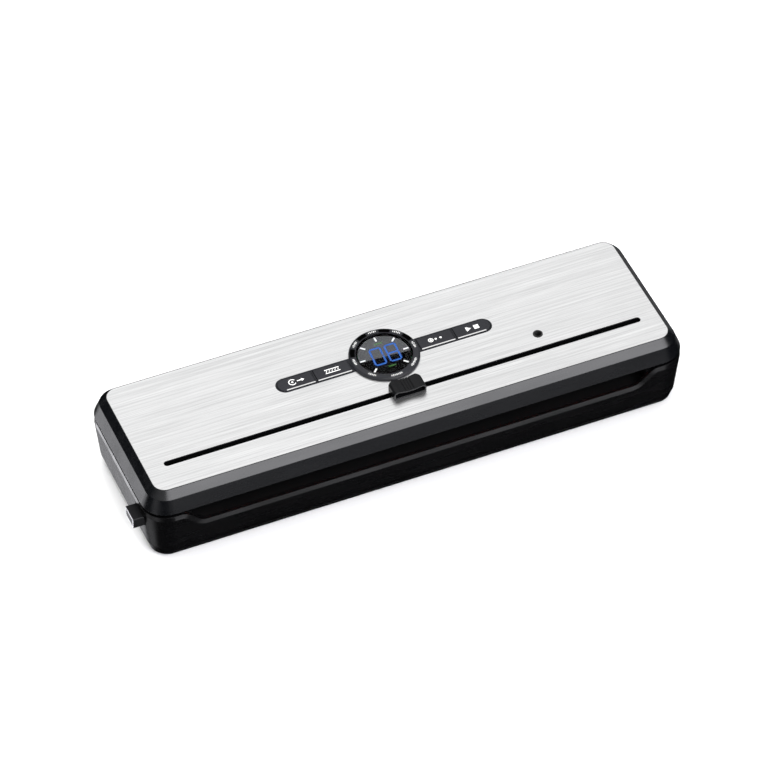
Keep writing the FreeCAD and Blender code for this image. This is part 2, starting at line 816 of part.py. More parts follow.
def heater():
    y = heater_y
    z = deck_z - size("heater_seat")
    length = heater_length
    height = size("heater_height")
    node("heater_bar", box("heater_bar", length, size("heater_width"), height, 0, y, z))
    strip_z = z + height
    strip = box("heating_strip", length - 8, size("strip_width"), size("strip_thickness"), 0, y, strip_z)
    node("heating_strip", strip)
    tape_z = strip_z + size("strip_thickness")
    tape = box("release_tape", length - 4, size("heater_width") - 0.6, size("tape_thickness"), 0, y, tape_z)
    node("release_tape", tape)
    return tape_z + size("tape_thickness")


def trough_nozzle():
    """A flanged spigot in the trough's floor, which the hose is pushed over."""
    wall = size("tub_wall")
    z = trough_floor_z
    stem = cylinder("nozzle_stem", nozzle_radius, wall * 6, nozzle_x, trough_y, z - wall * 5)
    flange = cylinder("nozzle_flange", nozzle_radius + wall, wall * 0.75, nozzle_x, trough_y, z)
    bore = cylinder("nozzle_bore", nozzle_radius - wall * 0.8, wall * 8, nozzle_x, trough_y, z - wall * 6)
    node("trough_nozzle", cut("trough_nozzle", fuse("nozzle_solid", [stem, flange]), [bore]))


def screw(name, kind, spot, head_height):
    """A cross-head screw of one kind, its head's outer face at the spot and its shank above it."""
    x, y, z = spot
    head_radius = size(f"{kind}_screw_head")
    slot = size("screw_slot")
    head = cylinder(f"{name}_head", head_radius, head_height, x, y, z)
    shank_radius, length = size(f"{kind}_screw_shank"), size(f"{kind}_screw_length")
    shank = cylinder(f"{name}_shank", shank_radius, length, x, y, z + head_height)
    slots = [
        box(f"{name}_slot_a", head_radius, slot, slot, x, y, z),
        box(f"{name}_slot_b", slot, head_radius, slot, x, y, z),
    ]
    return cut(name, fuse(f"{name}_solid", [head, shank]), slots)


def base_screws():
    screws = []
    for i, (x, y) in enumerate(base_screw_places()):
        head_z = cover_z + size("screw_fit")
        screws.append(screw(f"base_screw_{i}", "base", (x, y, head_z), size("base_head_height")))
    node("base_screws", group("base_screws", screws))


# ---------------------------------------------------------------- pump and power


def pump():
    """A diaphragm pump: a motor can in a cradle, and a pump block on the motor's shaft."""
    x, y, z = motor_x, motor_y, motor_z
    radius, length, wall = size("motor_radius"), size("motor_length"), size("motor_wall")
    shaft_radius, gap = size("shaft_radius"), size("pump_gap")
    can = cylinder("motor_shell", radius, length, x, y, z, "x")
    room = cylinder("motor_room", radius - wall, length - wall * 2, x + wall, y, z, "x")
    bore = cylinder("motor_bore", shaft_radius + size("pin_fit"), wall * 3, x - wall, y, z, "x")
    node("motor_can", cut("motor_can", can, [room, bore]))

    block_length, block_height = size("pump_length"), size("pump_height")
    middle = x - gap - block_length / 2
    crank = size("crank_radius")
    armature = cylinder("armature", radius - wall * 3, length - wall * 6, x + wall * 3, y, z, "x")
    shaft_length = length + block_length / 2 - wall * 2
    shaft = cylinder("shaft", shaft_radius, shaft_length, x - block_length / 2, y, z, "x")
    eccentric = cylinder("eccentric", crank / 2, crank / 2, middle, y, z + crank / 5, "x")
    node("motor_rotor", fuse("motor_rotor", [armature, shaft, eccentric]))
    low = z - block_height / 2
    head = box("pump_block", block_length, block_length, block_height, middle, y, low)
    crank_room = cylinder("crank_room", crank, block_length, x - block_length * 0.6, y, z, "x")
    node("pump_head", cut("pump_head", head, [crank_room]))
    cap = size("pump_cap")
    caps = []
    for side, name in ((-1, "front"), (1, "rear")):
        cap_y = y + side * (block_length + cap) / 2
        caps.append(box(f"pump_cap_{name}", block_length, cap, block_height, middle, cap_y, low))
    port = cylinder("pump_port", size("pump_port_radius"), size("pump_port_length"),
                    pump_port_x, pump_port_y, pump_port_z, "y")
    node("pump_covers", group("pump_covers", [fuse("pump_front_cover", [caps[0], port]), caps[1]]))
    cradle_length = length - wall * 2
    cradle = box("cradle_block", cradle_length, radius * 5 / 3, z - cover_top_z - radius / 6,
                 x + length / 2, y, cover_top_z)
    saddle = cylinder("cradle_saddle", radius + size("pin_fit") * 2, length + wall * 2, x - wall, y, z, "x")
    node("motor_cradle", cut("motor_cradle", cradle, [saddle]))


def tube(name, points, bend, radius, wall):
    """A hose along straight runs joined by tangent arcs of one bend radius."""
    edges = []
    last = points[0]
    for before, corner, after in zip(points, points[1:], points[2:]):
        back = (before - corner).normalize()
        ahead = (after - corner).normalize()
        half = (math.pi - back.getAngle(ahead)) / 2
        reach = bend * math.tan(half)
        start, end = corner + back * reach, corner + ahead * reach
        middle = corner + (back + ahead).normalize() * (bend / math.cos(half) - bend)
        edges.append(Part.makeLine(last, start))
        edges.append(Part.Arc(start, middle, end).toShape())
        last = end
    edges.append(Part.makeLine(last, points[-1]))
    path = Part.Wire(edges)
    direction = (points[1] - points[0]).normalize()
    solids = []
    for r in (radius, radius - wall):
        ring = Part.Wire([Part.makeCircle(r, points[0], direction)])
        solids.append(path.makePipeShell([ring], True, False))
    feature = doc.addObject("Part::Feature", name)
    feature.Shape = solids[0].cut(solids[1])
    return feature


def vacuum_hose():
    """A silicone tube from the trough's nozzle to the pump's port."""
    low = pump_port_z.value
    start = Vector(nozzle_x.value, trough_y.value, nozzle_hose_z.value)
    end = Vector(pump_port_x.value, (pump_port_y + size("pump_port_length")).value, low)
    points = [start, Vector(start.x, start.y, low), Vector(end.x, start.y, low), end]
    bend = min(size("hose_bend").value, (end.y - start.y) * 0.9)
    node("vacuum_hose", tube("vacuum_hose", points, bend, size("hose_radius").value, size("hose_wall").value))


def power():
    """A board on four spacers, with a transformer and a relay."""
    x, y = -panel_length * size("board_share"), panel_width / 2 - size("board_in")
    length, width = panel_length * size("board_length_share"), size("board_width")
    board_z = cover_top_z + size("board_lift")
    top = board_z + size("board_thickness")
    node("power_board", box("power_board", length, width, size("board_thickness"), x, y, board_z))
    legs = []
    leg_radius = size("board_lift") / 2
    for i, (side, end) in enumerate(((-1, -1), (1, -1), (-1, 1), (1, 1))):
        leg_x = x + side * (length / 2 - leg_radius * 2)
        leg_y = y + end * (width / 2 - leg_radius * 2)
        legs.append(cylinder(f"board_leg_{i}", leg_radius, size("board_lift"), leg_x, leg_y, cover_top_z))
    node("board_spacers", group("board_spacers", legs))
    core_length, core_height = width * 0.65, width * 0.41
    core_x = x - length * 0.2
    core = box("transformer_core", core_length, width * 0.58, core_height, core_x, y, top)
    coil = box("transformer_coil", core_length * 0.75, width * 0.73, core_height * 0.8, core_x, y,
               top + core_height * 0.1)
    node("transformer", fuse("transformer", [core, coil]))
    relay = box("relay", length * 0.22, width * 0.45, core_height * 0.65, x + length * 0.28, y, top)
    node("power_relay", relay)


def mains_inlet():
    """A two-pole appliance inlet set into the rear wall."""
    rear = panel_width / 2 + wall_out(inlet_z)
    depth, wall, fit = size("inlet_depth"), size("inlet_wall"), size("inlet_fit")
    length, height = size("inlet_length") - fit, size("inlet_height") - fit
    corner = height / 2 - wall * 1.6
    body = new_body("mains_inlet")
    shell = sketch_on(body, "shell", (inlet_x, inlet_z, wall - rear), plane="XZ_Plane")
    pad(body, rounded_rectangle(shell, length, height, corner + wall / 2), depth)
    cavity = sketch_on(body, "cavity", (inlet_x, inlet_z, -(rear + wall)), plane="XZ_Plane")
    hollow = rounded_rectangle(cavity, length - wall * 2, height - wall * 2, corner)
    pocket(body, hollow, depth - wall * 2, up=True)
    pins = []
    pin_radius = size("inlet_pin_radius")
    for side, name in ((-1, "left"), (1, "right")):
        pin_x = inlet_x + side * size("inlet_pin_pitch")
        hole = sketch_on(body, f"pin_hole_{name}", (pin_x, inlet_z, -(rear + wall)), plane="XZ_Plane")
        pocket(body, circle(hole, pin_radius), up=True)
        pins.append(cylinder(f"inlet_pin_{name}", pin_radius, depth * 0.6, pin_x, rear - depth, inlet_z, "y"))
    node("mains_inlet", body)
    node("inlet_pins", group("inlet_pins", pins))


# ---------------------------------------------------------------- latch


def coil_spring(name, x, y, z):
    """A compression spring that starts at x and runs along X."""
    turn = doc.addObject("Part::Helix", f"{name}_helix")
    turn.setExpression("Radius", size("spring_radius").text)
    turn.setExpression("Pitch", (size("spring_length") / 7).text)
    turn.setExpression("Height", (size("spring_length") - size("spring_wire") * 2).text)
    ring = doc.addObject("Part::Circle", f"{name}_wire")
    ring.setExpression("Radius", size("spring_wire").text)
    ring.Placement = Placement(Vector(), Rotation(Vector(1, 0, 0), 90))
    ring.setExpression(".Placement.Base.x", size("spring_radius").text)
    coil = doc.addObject("Part::Sweep", name)
    coil.Sections = [ring]
    coil.Spine = (turn, ["Edge1"])
    coil.Solid = True
    coil.Frenet = True
    coil.Placement = Placement(Vector(), Rotation(Vector(0, 1, 0), 90))
    return place(coil, x + size("spring_wire"), y, z)


def latch():
    y, z = latch_y, size("latch_z")
    wall_x = panel_length / 2 + wall_out(z)
    bar_end = wall_x - size("latch_button_tail")
    bar_height = size("latch_bar_height")
    bar_z = deck_under_z - size("latch_bar_drop") - bar_height
    travel = size("latch_travel")
    bar_right = catch_x + 7
    bar = box("latch_rail", bar_end + bar_right, size("latch_bar_width"), bar_height,
              (bar_right - bar_end) / 2, y, bar_z)
    windows = []
    for side in (-1, 1):
        x = side * catch_x - travel / 2
        windows.append(box(f"latch_window_{side}", size("catch_width") + travel + 1,
                           size("catch_thickness") + 0.8, bar_height + 2, x, y, bar_z - 1))
    # A lug under the bar pushes on a coil spring that rests against a rib of the deck.
    lug_x = latch_rib_x - size("spring_length") - 1.25
    lug = box("latch_lug", 2.5, 7.4, bar_z - size("spring_z") + 3.2, lug_x, y + 1.2, size("spring_z") - 2.2)
    rail = cut("latch_rail_cut", bar, windows)
    node("latch_bar", fuse("latch_bar", [rail, lug]))
    node("latch_spring", coil_spring("latch_spring", lug_x + 1.25, y + 2.4, size("spring_z")))

    body = new_body("latch_button")
    face = sketch_on(body, "face", (y, z, -(wall_x + size("latch_proud"))), plane="YZ_Plane")
    width, height = size("latch_button_width"), size("latch_button_height")
    rounded_rectangle(face, width, height, size("latch_button_corner"))
    pad(body, face, size("latch_proud") + size("latch_button_tail"))
    groove = sketch_on(body, "groove", (y, z, -(wall_x + size("latch_proud"))), plane="YZ_Plane")
    rounded_rectangle(groove, width - 2.0, height - 2.0, 0.6)
    pocket(body, groove, 1.0, up=True)
    node("latch_button", body)
    insert = new_body("latch_button_insert")
    insert_x = wall_x + size("latch_proud") - size("insert_sink")
    plate = sketch_on(insert, "plate", (y, z, -insert_x), plane="YZ_Plane")
    rounded_rectangle(plate, width - 3.0, height - 3.0, 0.5)
    pad(insert, plate, size("insert_thickness"))
    node("latch_button_insert", insert)


# ---------------------------------------------------------------- lid


def lid_shell():
    body = new_body("lid_shell")
    wall = size("lid_wall")
    loft(
        body,
        [
            housing_section(body, "edge", lid_edge_out, lid_edge_z),
            housing_section(body, "shoulder", size("chamfer_out"), lid_shoulder_z),
            housing_section(body, "top", 0, top_z),
        ],
    )
    loft(
        body,
        [
            housing_section(body, "edge_inside", lid_edge_out - wall, lid_edge_z),
            housing_section(body, "roof_inside", roof_out, lid_roof_z),
        ],
        subtract=True,
    )
    pocket(body, housing_section(body, "panel_seat", -size("panel_lip"), top_z), size("panel_thickness"))
    slot = sketch_on(body, "slot", (ZERO, slot_y, top_z))
    pocket(body, stadium(slot, slot_length + 2, size("slot_width") + 1), 10)
    strip = sketch_on(body, "strip", (ZERO, dial_y, top_z))
    pocket(body, stadium(strip, size("strip_length") + 0.4, size("strip_height") + 0.4), 10)
    dial = sketch_on(body, "dial", (ZERO, dial_y, top_z))
    pocket(body, circle(dial, neck_radius + 0.3), 10)
    port = sketch_on(body, "port", (port_x, size("port_y"), top_z))
    pocket(body, circle(port, size("port_radius") + size("port_wall") + 0.1), 10)

    # Bosses for the screws that hold the inner cover.
    for i, (x, y) in enumerate(lid_screw_places()):
        boss = sketch_on(body, f"boss_{i}", (x, y, inner_top_z))
        pad(body, circle(boss, size("lid_boss_radius")), lid_roof_z - inner_top_z + size("deck_fit"))
        pilot = sketch_on(body, f"pilot_{i}", (x, y, inner_top_z))
        pocket(body, circle(pilot, size("lid_screw_shank") + size("pin_fit")), 7, up=True)

    # Rear knuckles: an opening for each post, and a knuckle on both sides of it.
    r, gap = size("knuckle_radius"), size("hinge_gap")
    for side, name in ((-1, "left"), (1, "right")):
        x = side * hinge_x
        for end in (-1, 1):
            middle = x + end * (size("knuckle_half") + gap + size("knuckle_length") / 2)
            spot = (hinge_y, size("hinge_z"), middle)
            web = sketch_on(body, f"web_{name}_{end + 1}", spot, plane="YZ_Plane")
            polygon(web, [(-r, 0), (r * 0.9, 0), (r * 0.35, r + 1.5), (-r, r + 1.5)])
            pad(body, web, size("knuckle_length"), both=True)
            knuckle = sketch_on(body, f"knuckle_{name}_{end + 1}", spot, plane="YZ_Plane")
            pad(body, circle(knuckle, r), size("knuckle_length"), both=True)
        opening = sketch_on(body, f"opening_{name}", (hinge_y + 1, size("hinge_z"), x), plane="YZ_Plane")
        reach = size("knuckle_radius") + gap
        polygon(opening, [(-reach - 1, -8), (12, -8), (12, reach), (-reach - 1, reach)])
        pocket(body, opening, size("knuckle_half") * 2 + gap * 2, both=True)
        hole = sketch_on(body, f"pin_hole_{name}", (hinge_y, size("hinge_z"), x), plane="YZ_Plane")
        bore = circle(hole, size("pin_radius") + size("pin_fit"))
        pocket(body, bore, (size("knuckle_half") + gap + size("knuckle_length")) * 2 - 3, both=True)
    node("lid_shell", body)


def lid_screw_places():
    x = panel_length / 2 - size("lid_screw_in_x")
    y = panel_width / 2 - size("lid_screw_in_y")
    rear = panel_length / 2 - size("lid_screw_rear_in")
    return [(-x, ZERO), (x, ZERO), (-rear, y), (rear, y), (-middle_screw_x, y), (middle_screw_x, y)]


def steel_panel():
    body = new_body("steel_panel")
    plate = housing_section(body, "plate", -size("panel_lip") - 0.1, panel_under_z)
    pad(body, plate, size("panel_thickness"))
    slot = sketch_on(body, "slot", (ZERO, slot_y, top_z))
    pocket(body, stadium(slot, slot_length, size("slot_width")), 5)
    strip = sketch_on(body, "strip", (ZERO, dial_y, top_z))
    pocket(body, stadium(strip, size("strip_length"), size("strip_height")), 5)
    dial = sketch_on(body, "dial", (ZERO, dial_y, top_z))
    pocket(body, circle(dial, neck_radius + 0.3), 5)
    port = sketch_on(body, "port", (port_x, size("port_y"), top_z))
    pocket(body, circle(port, size("port_radius") + size("port_wall") + 0.05), 5)
    node("steel_panel", body)


def lid_inner():
    body = new_body("lid_inner_cover")
    pad(body, housing_section(body, "plate", inner_out, inner_z), size("inner_plate"))
    wall = size("tub_wall")
    chamber = sketch_on(body, "chamber_tub", (ZERO, trough_y, inner_top_z))
    rounded_rectangle(chamber, trough_length + wall * 2, size("trough_width") + wall * 2, size("tub_corner"))
    pad(body, chamber, chamber_height + 1.4 - size("inner_plate"))
    pad_seat = sketch_on(body, "pad_tub", (ZERO, heater_y, inner_top_z))
    rectangle(pad_seat, heater_length + wall * 2, size("heater_width") + wall * 2)
    pad(body, pad_seat, 2.0)
    hollow = sketch_on(body, "chamber", (ZERO, trough_y, inner_z))
    rounded_rectangle(hollow, trough_length, size("trough_width"), trough_corner)
    pocket(body, hollow, chamber_height, up=True)
    seat = sketch_on(body, "pad_seat", (ZERO, heater_y, inner_z))
    rectangle(seat, heater_length + seat_fit * 2, size("heater_width") + seat_fit * 2)
    pocket(body, seat, size("pad_seat"), up=True)
    outer = size("gasket_step") + size("gasket_width")
    ring = sketch_on(body, "gasket_seat", (ZERO, trough_y, inner_z))
    rounded_rectangle(
        ring, trough_length + (outer + seat_fit) * 2, size("trough_width") + (outer + seat_fit) * 2,
        trough_corner + seat_fit + outer
    )
    pocket(body, ring, size("lid_gasket_seat"), up=True)
    lip = sketch_on(body, "chamber_lip", (ZERO, trough_y, inner_z))
    step = size("gasket_step")
    rounded_rectangle(
        lip, trough_length + (step - seat_fit) * 2, size("trough_width") + (step - seat_fit) * 2,
        trough_corner - seat_fit + step
    )
    pad(body, lip, 2.0)
    mouth = sketch_on(body, "chamber_mouth", (ZERO, trough_y, inner_z))
    rounded_rectangle(mouth, trough_length, size("trough_width"), trough_corner)
    pocket(body, mouth, chamber_height, up=True)
    slot = sketch_on(body, "slot", (ZERO, slot_y, inner_z))
    pocket(body, stadium(slot, slot_length + 2, 3.4), up=True)
    port = sketch_on(body, "port", (port_x, size("port_y"), inner_z))
    pocket(body, circle(port, size("port_radius") + size("port_wall") + 0.1), up=True)
    for i, (x, y) in enumerate(lid_screw_places()):
        head = sketch_on(body, f"head_{i}", (x, y, inner_z))
        seat_depth = size("lid_head_height") + size("screw_fit")
        pocket(body, circle(head, size("lid_screw_head") + size("screw_fit")), seat_depth, up=True)
        hole = sketch_on(body, f"hole_{i}", (x, y, inner_z))
        pocket(body, circle(hole, size("lid_screw_shank") + size("screw_fit")), up=True)
    reach = (size("knuckle_half") + size("hinge_gap") + size("knuckle_length")) * 2 + 1
    for side, name in ((-1, "left"), (1, "right")):
        spot = (side * hinge_x, hinge_y + 2, inner_z)
        notch = sketch_on(body, f"knuckle_notch_{name}", spot)
        rectangle(notch, reach, (size("knuckle_radius") + size("hinge_gap") + 2) * 2)
        pocket(body, notch, up=True)
    node("lid_inner_cover", body)


def lid_screws():
    screws = []
    for i, (x, y) in enumerate(lid_screw_places()):
        head_z = inner_z + size("screw_fit")
        screws.append(screw(f"lid_screw_{i}", "lid", (x, y, head_z), size("lid_head_height")))
    node("lid_screws", group("lid_screws", screws))


def sealing_pad(tape_top):
    low = tape_top + size("pad_gap")
    block = box("sealing_pad", heater_length, size("heater_width") - 0.4, inner_z + size("pad_seat") - low,
                0, heater_y, low)
    node("sealing_pad", block)


def lid_catches():
    """Two hooked tongues that reach through the deck to the latch bar."""
    tip = deck_under_z - size("latch_bar_drop") + 0.5
    catches = []
    for side in (-1, 1):
        x = side * catch_x
        tongue = box(f"catch_tongue_{side}", size("catch_width") - 2, size("catch_thickness"), inner_z - tip,
                     x + 1, latch_y, tip)
        nose = box(f"catch_nose_{side}", size("catch_width"), size("catch_thickness"), 2.0,
                   x, latch_y, tip)
        foot = box(f"catch_foot_{side}", size("catch_width"), 7.0, 1.2, x, latch_y, inner_z - 1.2)
        catches.append(fuse(f"catch_{side}", [tongue, nose, foot]))
    node("lid_catches", group("lid_catches", catches))


def hinge_pins():
    pins = []
    length = (size("knuckle_half") + size("hinge_gap") + size("knuckle_length")) * 2 - 3.4
    for side in (-1, 1):
        x = side * hinge_x - length / 2
        pins.append(cylinder(f"hinge_pin_{side}", size("pin_radius"), length, x, hinge_y,
                             size("hinge_z"), "x"))
    node("hinge_pins", group("hinge_pins", pins))


# ---------------------------------------------------------------- display and buttons


def button_frame():
    body = new_body("button_frame")
    flange = sketch_on(body, "flange", (ZERO, dial_y, lid_roof_z))
    pad(body, stadium(flange, size("strip_length") + 6, size("strip_height") + 6), 1.2, down=True)
    plug = sketch_on(body, "plug", (ZERO, dial_y, lid_roof_z))
    pad(body, stadium(plug, size("strip_length") - 0.2, size("strip_height") - 0.2), top_z - lid_roof_z)
    washer = sketch_on(body, "dial_flange", (ZERO, dial_y, lid_roof_z))
    pad(body, circle(washer, size("dial_radius") + 2), 1.2, down=True)
    seat = sketch_on(body, "dial_seat", (ZERO, dial_y, lid_roof_z - 2))
    pocket(body, circle(seat, neck_radius + 0.2), up=True)
    rim = size("frame_rim")
    for side, name in ((-1, "left"), (1, "right")):
        inner_end = size("dial_radius") + rim
        split = size("strip_split")
        middle = (inner_end + split - rim / 2) / 2
        window = sketch_on(body, f"inner_window_{name}", (side * middle, dial_y, top_z))
        rectangle(window, split - rim / 2 - inner_end, size("strip_height") - 0.2 - rim * 2)
        pocket(body, window)
        outer_start = split + rim / 2
        outer_end = size("strip_length") / 2 - 0.1 - rim
        outer = sketch_on(body, f"outer_window_{name}", (side * outer_start, dial_y, top_z))
        button_outline(outer, side, outer_end - outer_start, size("strip_height") - 0.2 - rim * 2)
        pocket(body, outer)
    node("button_frame", body)


def button_outline(sketch, side, length, width):
    """A tab with one square end at the sketch's origin and one round end towards side."""
    length, width = as_size(length), as_size(width)
    r = width.value / 2
    reach = side * (length.value - r)
    start, turn = (270, 180) if side > 0 else (90, 180)
    round_end = Part.Circle(Vector(reach, 0, 0), Vector(0, 0, 1), r)
    sketch.addGeometry(Part.ArcOfCircle(round_end, math.radians(start), math.radians(start + turn)))
    first, last = Vector(reach, -side * r, 0), Vector(reach, side * r, 0)
    sketch.addGeometry(Part.LineSegment(last, Vector(0, side * r, 0)))
    sketch.addGeometry(Part.LineSegment(Vector(0, side * r, 0), Vector(0, -side * r, 0)))
    sketch.addGeometry(Part.LineSegment(Vector(0, -side * r, 0), first))
    constrain(sketch, "Tangent", 0, 2, 1, 1)
    constrain(sketch, "Coincident", 1, 2, 2, 1)
    constrain(sketch, "Coincident", 2, 2, 3, 1)
    constrain(sketch, "Tangent", 3, 2, 0, 1)
    constrain(sketch, "Vertical", 2)
    constrain(sketch, "Horizontal", 1)
    constrain(sketch, "Horizontal", 3)
    constrain(sketch, "PointOnObject", 0, 3, -1)
    constrain(sketch, "PointOnObject", 1, 2, -2)
    constrain(sketch, "Radius", 0, length=width / 2)
    if side > 0:
        constrain(sketch, "DistanceX", -1, 1, 0, 3, length=length - width / 2)
    else:
        constrain(sketch, "DistanceX", 0, 3, -1, 1, length=length - width / 2)
    return sketch


def buttons():
    """Two caps on each side of the dial; each travels straight down into the frame."""
    rim, fit = size("frame_rim"), size("button_fit")
    low = board_top_z + 1.8
    height = button_top_z - low
    width = size("strip_height") - 0.2 - rim * 2 - fit * 2
    for side, name in ((-1, "left"), (1, "right")):
        split = size("strip_split")
        inner_start = size("dial_radius") + rim + fit
        inner_end = split - rim / 2 - fit
        inner = new_body(f"inner_button_{name}")
        spot = (side * (inner_start + inner_end) / 2, dial_y, low)
        pad(inner, rectangle(sketch_on(inner, "cap", spot), inner_end - inner_start, width), height)
        round_edges(inner, size("button_round"), at_height(button_top_z))
        node(f"inner_button_{name}", inner)
        outer_start = split + rim / 2 + fit
        outer_end = size("strip_length") / 2 - 0.1 - rim - fit
        outer = new_body(f"outer_button_{name}")
        cap = sketch_on(outer, "cap", (side * outer_start, dial_y, low))
        pad(outer, button_outline(cap, side, outer_end - outer_start, width), height)
        round_edges(outer, size("button_round"), at_height(button_top_z))
        node(f"outer_button_{name}", outer)


def display():
    ring = new_body("display_ring")
    outer = size("dial_radius")
    pad(ring, circle(sketch_on(ring, "seat", (ZERO, dial_y, top_z)), outer), size("dial_rise"))
    pad(ring, circle(sketch_on(ring, "neck", (ZERO, dial_y, top_z)), neck_radius),
        top_z - lid_roof_z + 1.0, down=True)
    pocket(ring, circle(sketch_on(ring, "window", (ZERO, dial_y, top_z + 5)), size("window_radius")))
    ledge = sketch_on(ring, "lens_seat", (ZERO, dial_y, top_z + size("dial_rise")))
    pocket(ring, circle(ledge, size("window_radius") + size("lens_seat_width")), size("lens_seat_depth"))
    round_edges(ring, 0.9, lambda edge: at_height(top_z + size("dial_rise"))(edge)
                and abs(edge.Curve.Radius - outer.value) < 0.01, kind="Chamfer")
    node("display_ring", ring)
    lens_z = top_z + size("dial_rise") - size("lens_seat_depth")
    lens_radius = size("window_radius") + size("lens_seat_width") - seat_fit
    lens = cylinder("display_lens", lens_radius, size("lens_thickness"), 0, dial_y, lens_z)
    node("display_lens", lens)
    module_z = board_top_z
    module_radius = size("window_radius") - 0.6
    module = cylinder("display_module", module_radius, lens_z - 0.5 - module_z, 0, dial_y, module_z)
    node("display_module", module)
    thickness = size("control_board")
    board_z = board_top_z - thickness
    board = box("board_strip", size("strip_length") + 6, 15, thickness, 0, dial_y + 0.6, board_z)
    disc = cylinder("board_disc", size("dial_radius") - 3, thickness, 0, dial_y, board_z)
    node("control_board", fuse("control_board", [board, disc]))
    switches = []
    inner = (size("dial_radius") + size("strip_split")) / 2
    outer_x = (size("strip_split") + size("strip_length") / 2) / 2
    for side in (-1, 1):
        for i, x in enumerate((inner, outer_x)):
            switches.append(box(f"switch_{side}_{i}", 6, 6, 0.9, side * x, dial_y, board_top_z))
    node("key_switches", group("key_switches", switches))


def port_bush():
    r, wall = size("port_radius"), size("port_wall")
    x, y = port_x, size("port_y")
    low = inner_z + chamber_height - 0.4
    tube = cylinder("bush_tube", r + wall, top_z + 0.3 - low, x, y, low)
    bore = cylinder("bush_bore", r, 20, x, y, low - 2)
    node("port_bush", cut("port_bush", tube, [bore]))


# ---------------------------------------------------------------- cutter


def cutter():
    x = size("cutter_x")
    fit = size("slide_fit")
    # The guide is a channel under the roof, with its own slot above and below.
    outer_width = size("slot_width") + size("guide_margin") * 2
    guide_z = inner_top_z + 0.2
    guide_height = lid_roof_z - guide_z
    guide_y = slot_y
    length = slot_length + 6
    block = box("guide_block", length, outer_width, guide_height, 0, guide_y, guide_z)
    room = box("guide_room", length - 3, outer_width - 2.4, guide_height - 1.0, 0, guide_y, guide_z + 1.0)
    floor_slot = box("guide_floor_slot", length - 6, 3.4, 4, 0, guide_y, guide_z - 1)
    node("cutter_guide", cut("cutter_guide", block, [room, floor_slot]))

    # The carriage fills the guide; its stem comes up through the slot.
    carriage_width = outer_width - 2.4 - fit * 2
    low = guide_z + 1.0 + fit
    carriage_length, carriage_height = size("stem_length") + 4, lid_roof_z - low - fit
    carriage = box("carriage_block", carriage_length, carriage_width, carriage_height, x, slot_y, low)
    stem = box("carriage_stem", size("stem_length"), size("slot_width") - fit * 2,
               top_z + size("knob_lift") - low, x, slot_y, low)
    slit = box("blade_slit", 9.0, 0.7, 8, x, slot_y, low - 2)
    node("blade_carriage", cut("blade_carriage", fuse("carriage_solid", [carriage, stem]), [slit]))

    cutter_knob(x)

    # A thin blade with a slanted edge hangs below the carriage into the groove of the deck.
    blade = new_body("cutter_blade")
    edge_z = deck_z - size("groove_depth") + 1.4
    outline = sketch_on(blade, "outline", (x, ZERO, -slot_y), plane="XZ_Plane")
    polygon(outline, [(-4.2, low + 2), (4.2, low + 2), (4.2, edge_z + 4), (0, edge_z), (-4.2, edge_z + 4)])
    pad(blade, outline, 0.5, both=True)
    node("cutter_blade", blade)


def cutter_knob(x):
    """A hood with a dipped back, ribs across its middle and a finger scoop under its brow."""
    body = new_body("cutter_knob")
    base_z = top_z + size("knob_lift")
    front, back = size("knob_front"), size("knob_back")
    half, height, dip = size("knob_length") / 2, size("knob_height"), size("knob_dip")
    corner = size("knob_corner")

    def crest(drop):
        # the hood's wavy profile from its right shoulder to its left one, lowered by a drop
        right = [
            (half - drop, height - 1.3 - drop / 2),
            (half - 1.2 - drop, height - 0.3 - drop),
            (half - 3.0, height - drop),
            (half - 5.6, height - dip / 2 - drop),
            (half / 5, height - dip - drop),
        ]
        return right + [(-px, pz) for px, pz in reversed(right)]

    profile = sketch_on(body, "profile", (x, base_z, -slot_y - back), plane="XZ_Plane")
    polygon(profile, [(-half, ZERO), (half, ZERO)] + crest(ZERO))
    pad(body, profile, front + back)
    for side, name in ((-1, "left"), (1, "right")):
        facet = sketch_on(body, f"facet_{name}", (x + side * half, slot_y + back, base_z + height))
        run = corner * 0.6
        polygon(facet, [(-side * corner, ZERO), (side * 1, ZERO), (side * 1, -run), (ZERO, -run)])
        pocket(body, facet)
    scoop = sketch_on(body, "scoop", (x, base_z, -slot_y + front), plane="XZ_Plane")
    inset = size("lip")
    brow = crest(size("brow"))
    polygon(scoop, [(inset * 1.5 - half, inset), (half - inset * 1.5, inset)] + brow)
    pocket(body, scoop, size("scoop_depth"))
    for i in range(4):
        rib_x = x + (i - 1.5) * size("rib_pitch")
        groove = sketch_on(body, f"rib_groove_{i}", (rib_x, slot_y + (back - front) / 2 + 1, base_z + height))
        pocket(body, rectangle(groove, size("rib_pitch") * 0.4, front + back), dip + size("rib_depth"))
    node("cutter_knob", body)


# ---------------------------------------------------------------- build, check, write


def check_document():
    doc.recompute()
    for item in doc.Objects:
        bad = [word for word in item.State if word in ("Invalid", "Error")]
        if bad:
            raise RuntimeError(f"{item.Label} is {bad}")
    for item in doc.Objects:
        if item.TypeId in ("PartDesign::Pocket", "PartDesign::SubtractiveLoft"):
            before = item.BaseFeature.Shape.Volume
            if item.Shape.Volume > before - 0.01:
                raise RuntimeError(f"{item.Label} cuts nothing")
    for label, item in NODES.items():
        if item.Shape.isNull() or not item.Shape.isValid() or not item.Shape.Solids:
            raise RuntimeError(f"{label} has no valid solid")


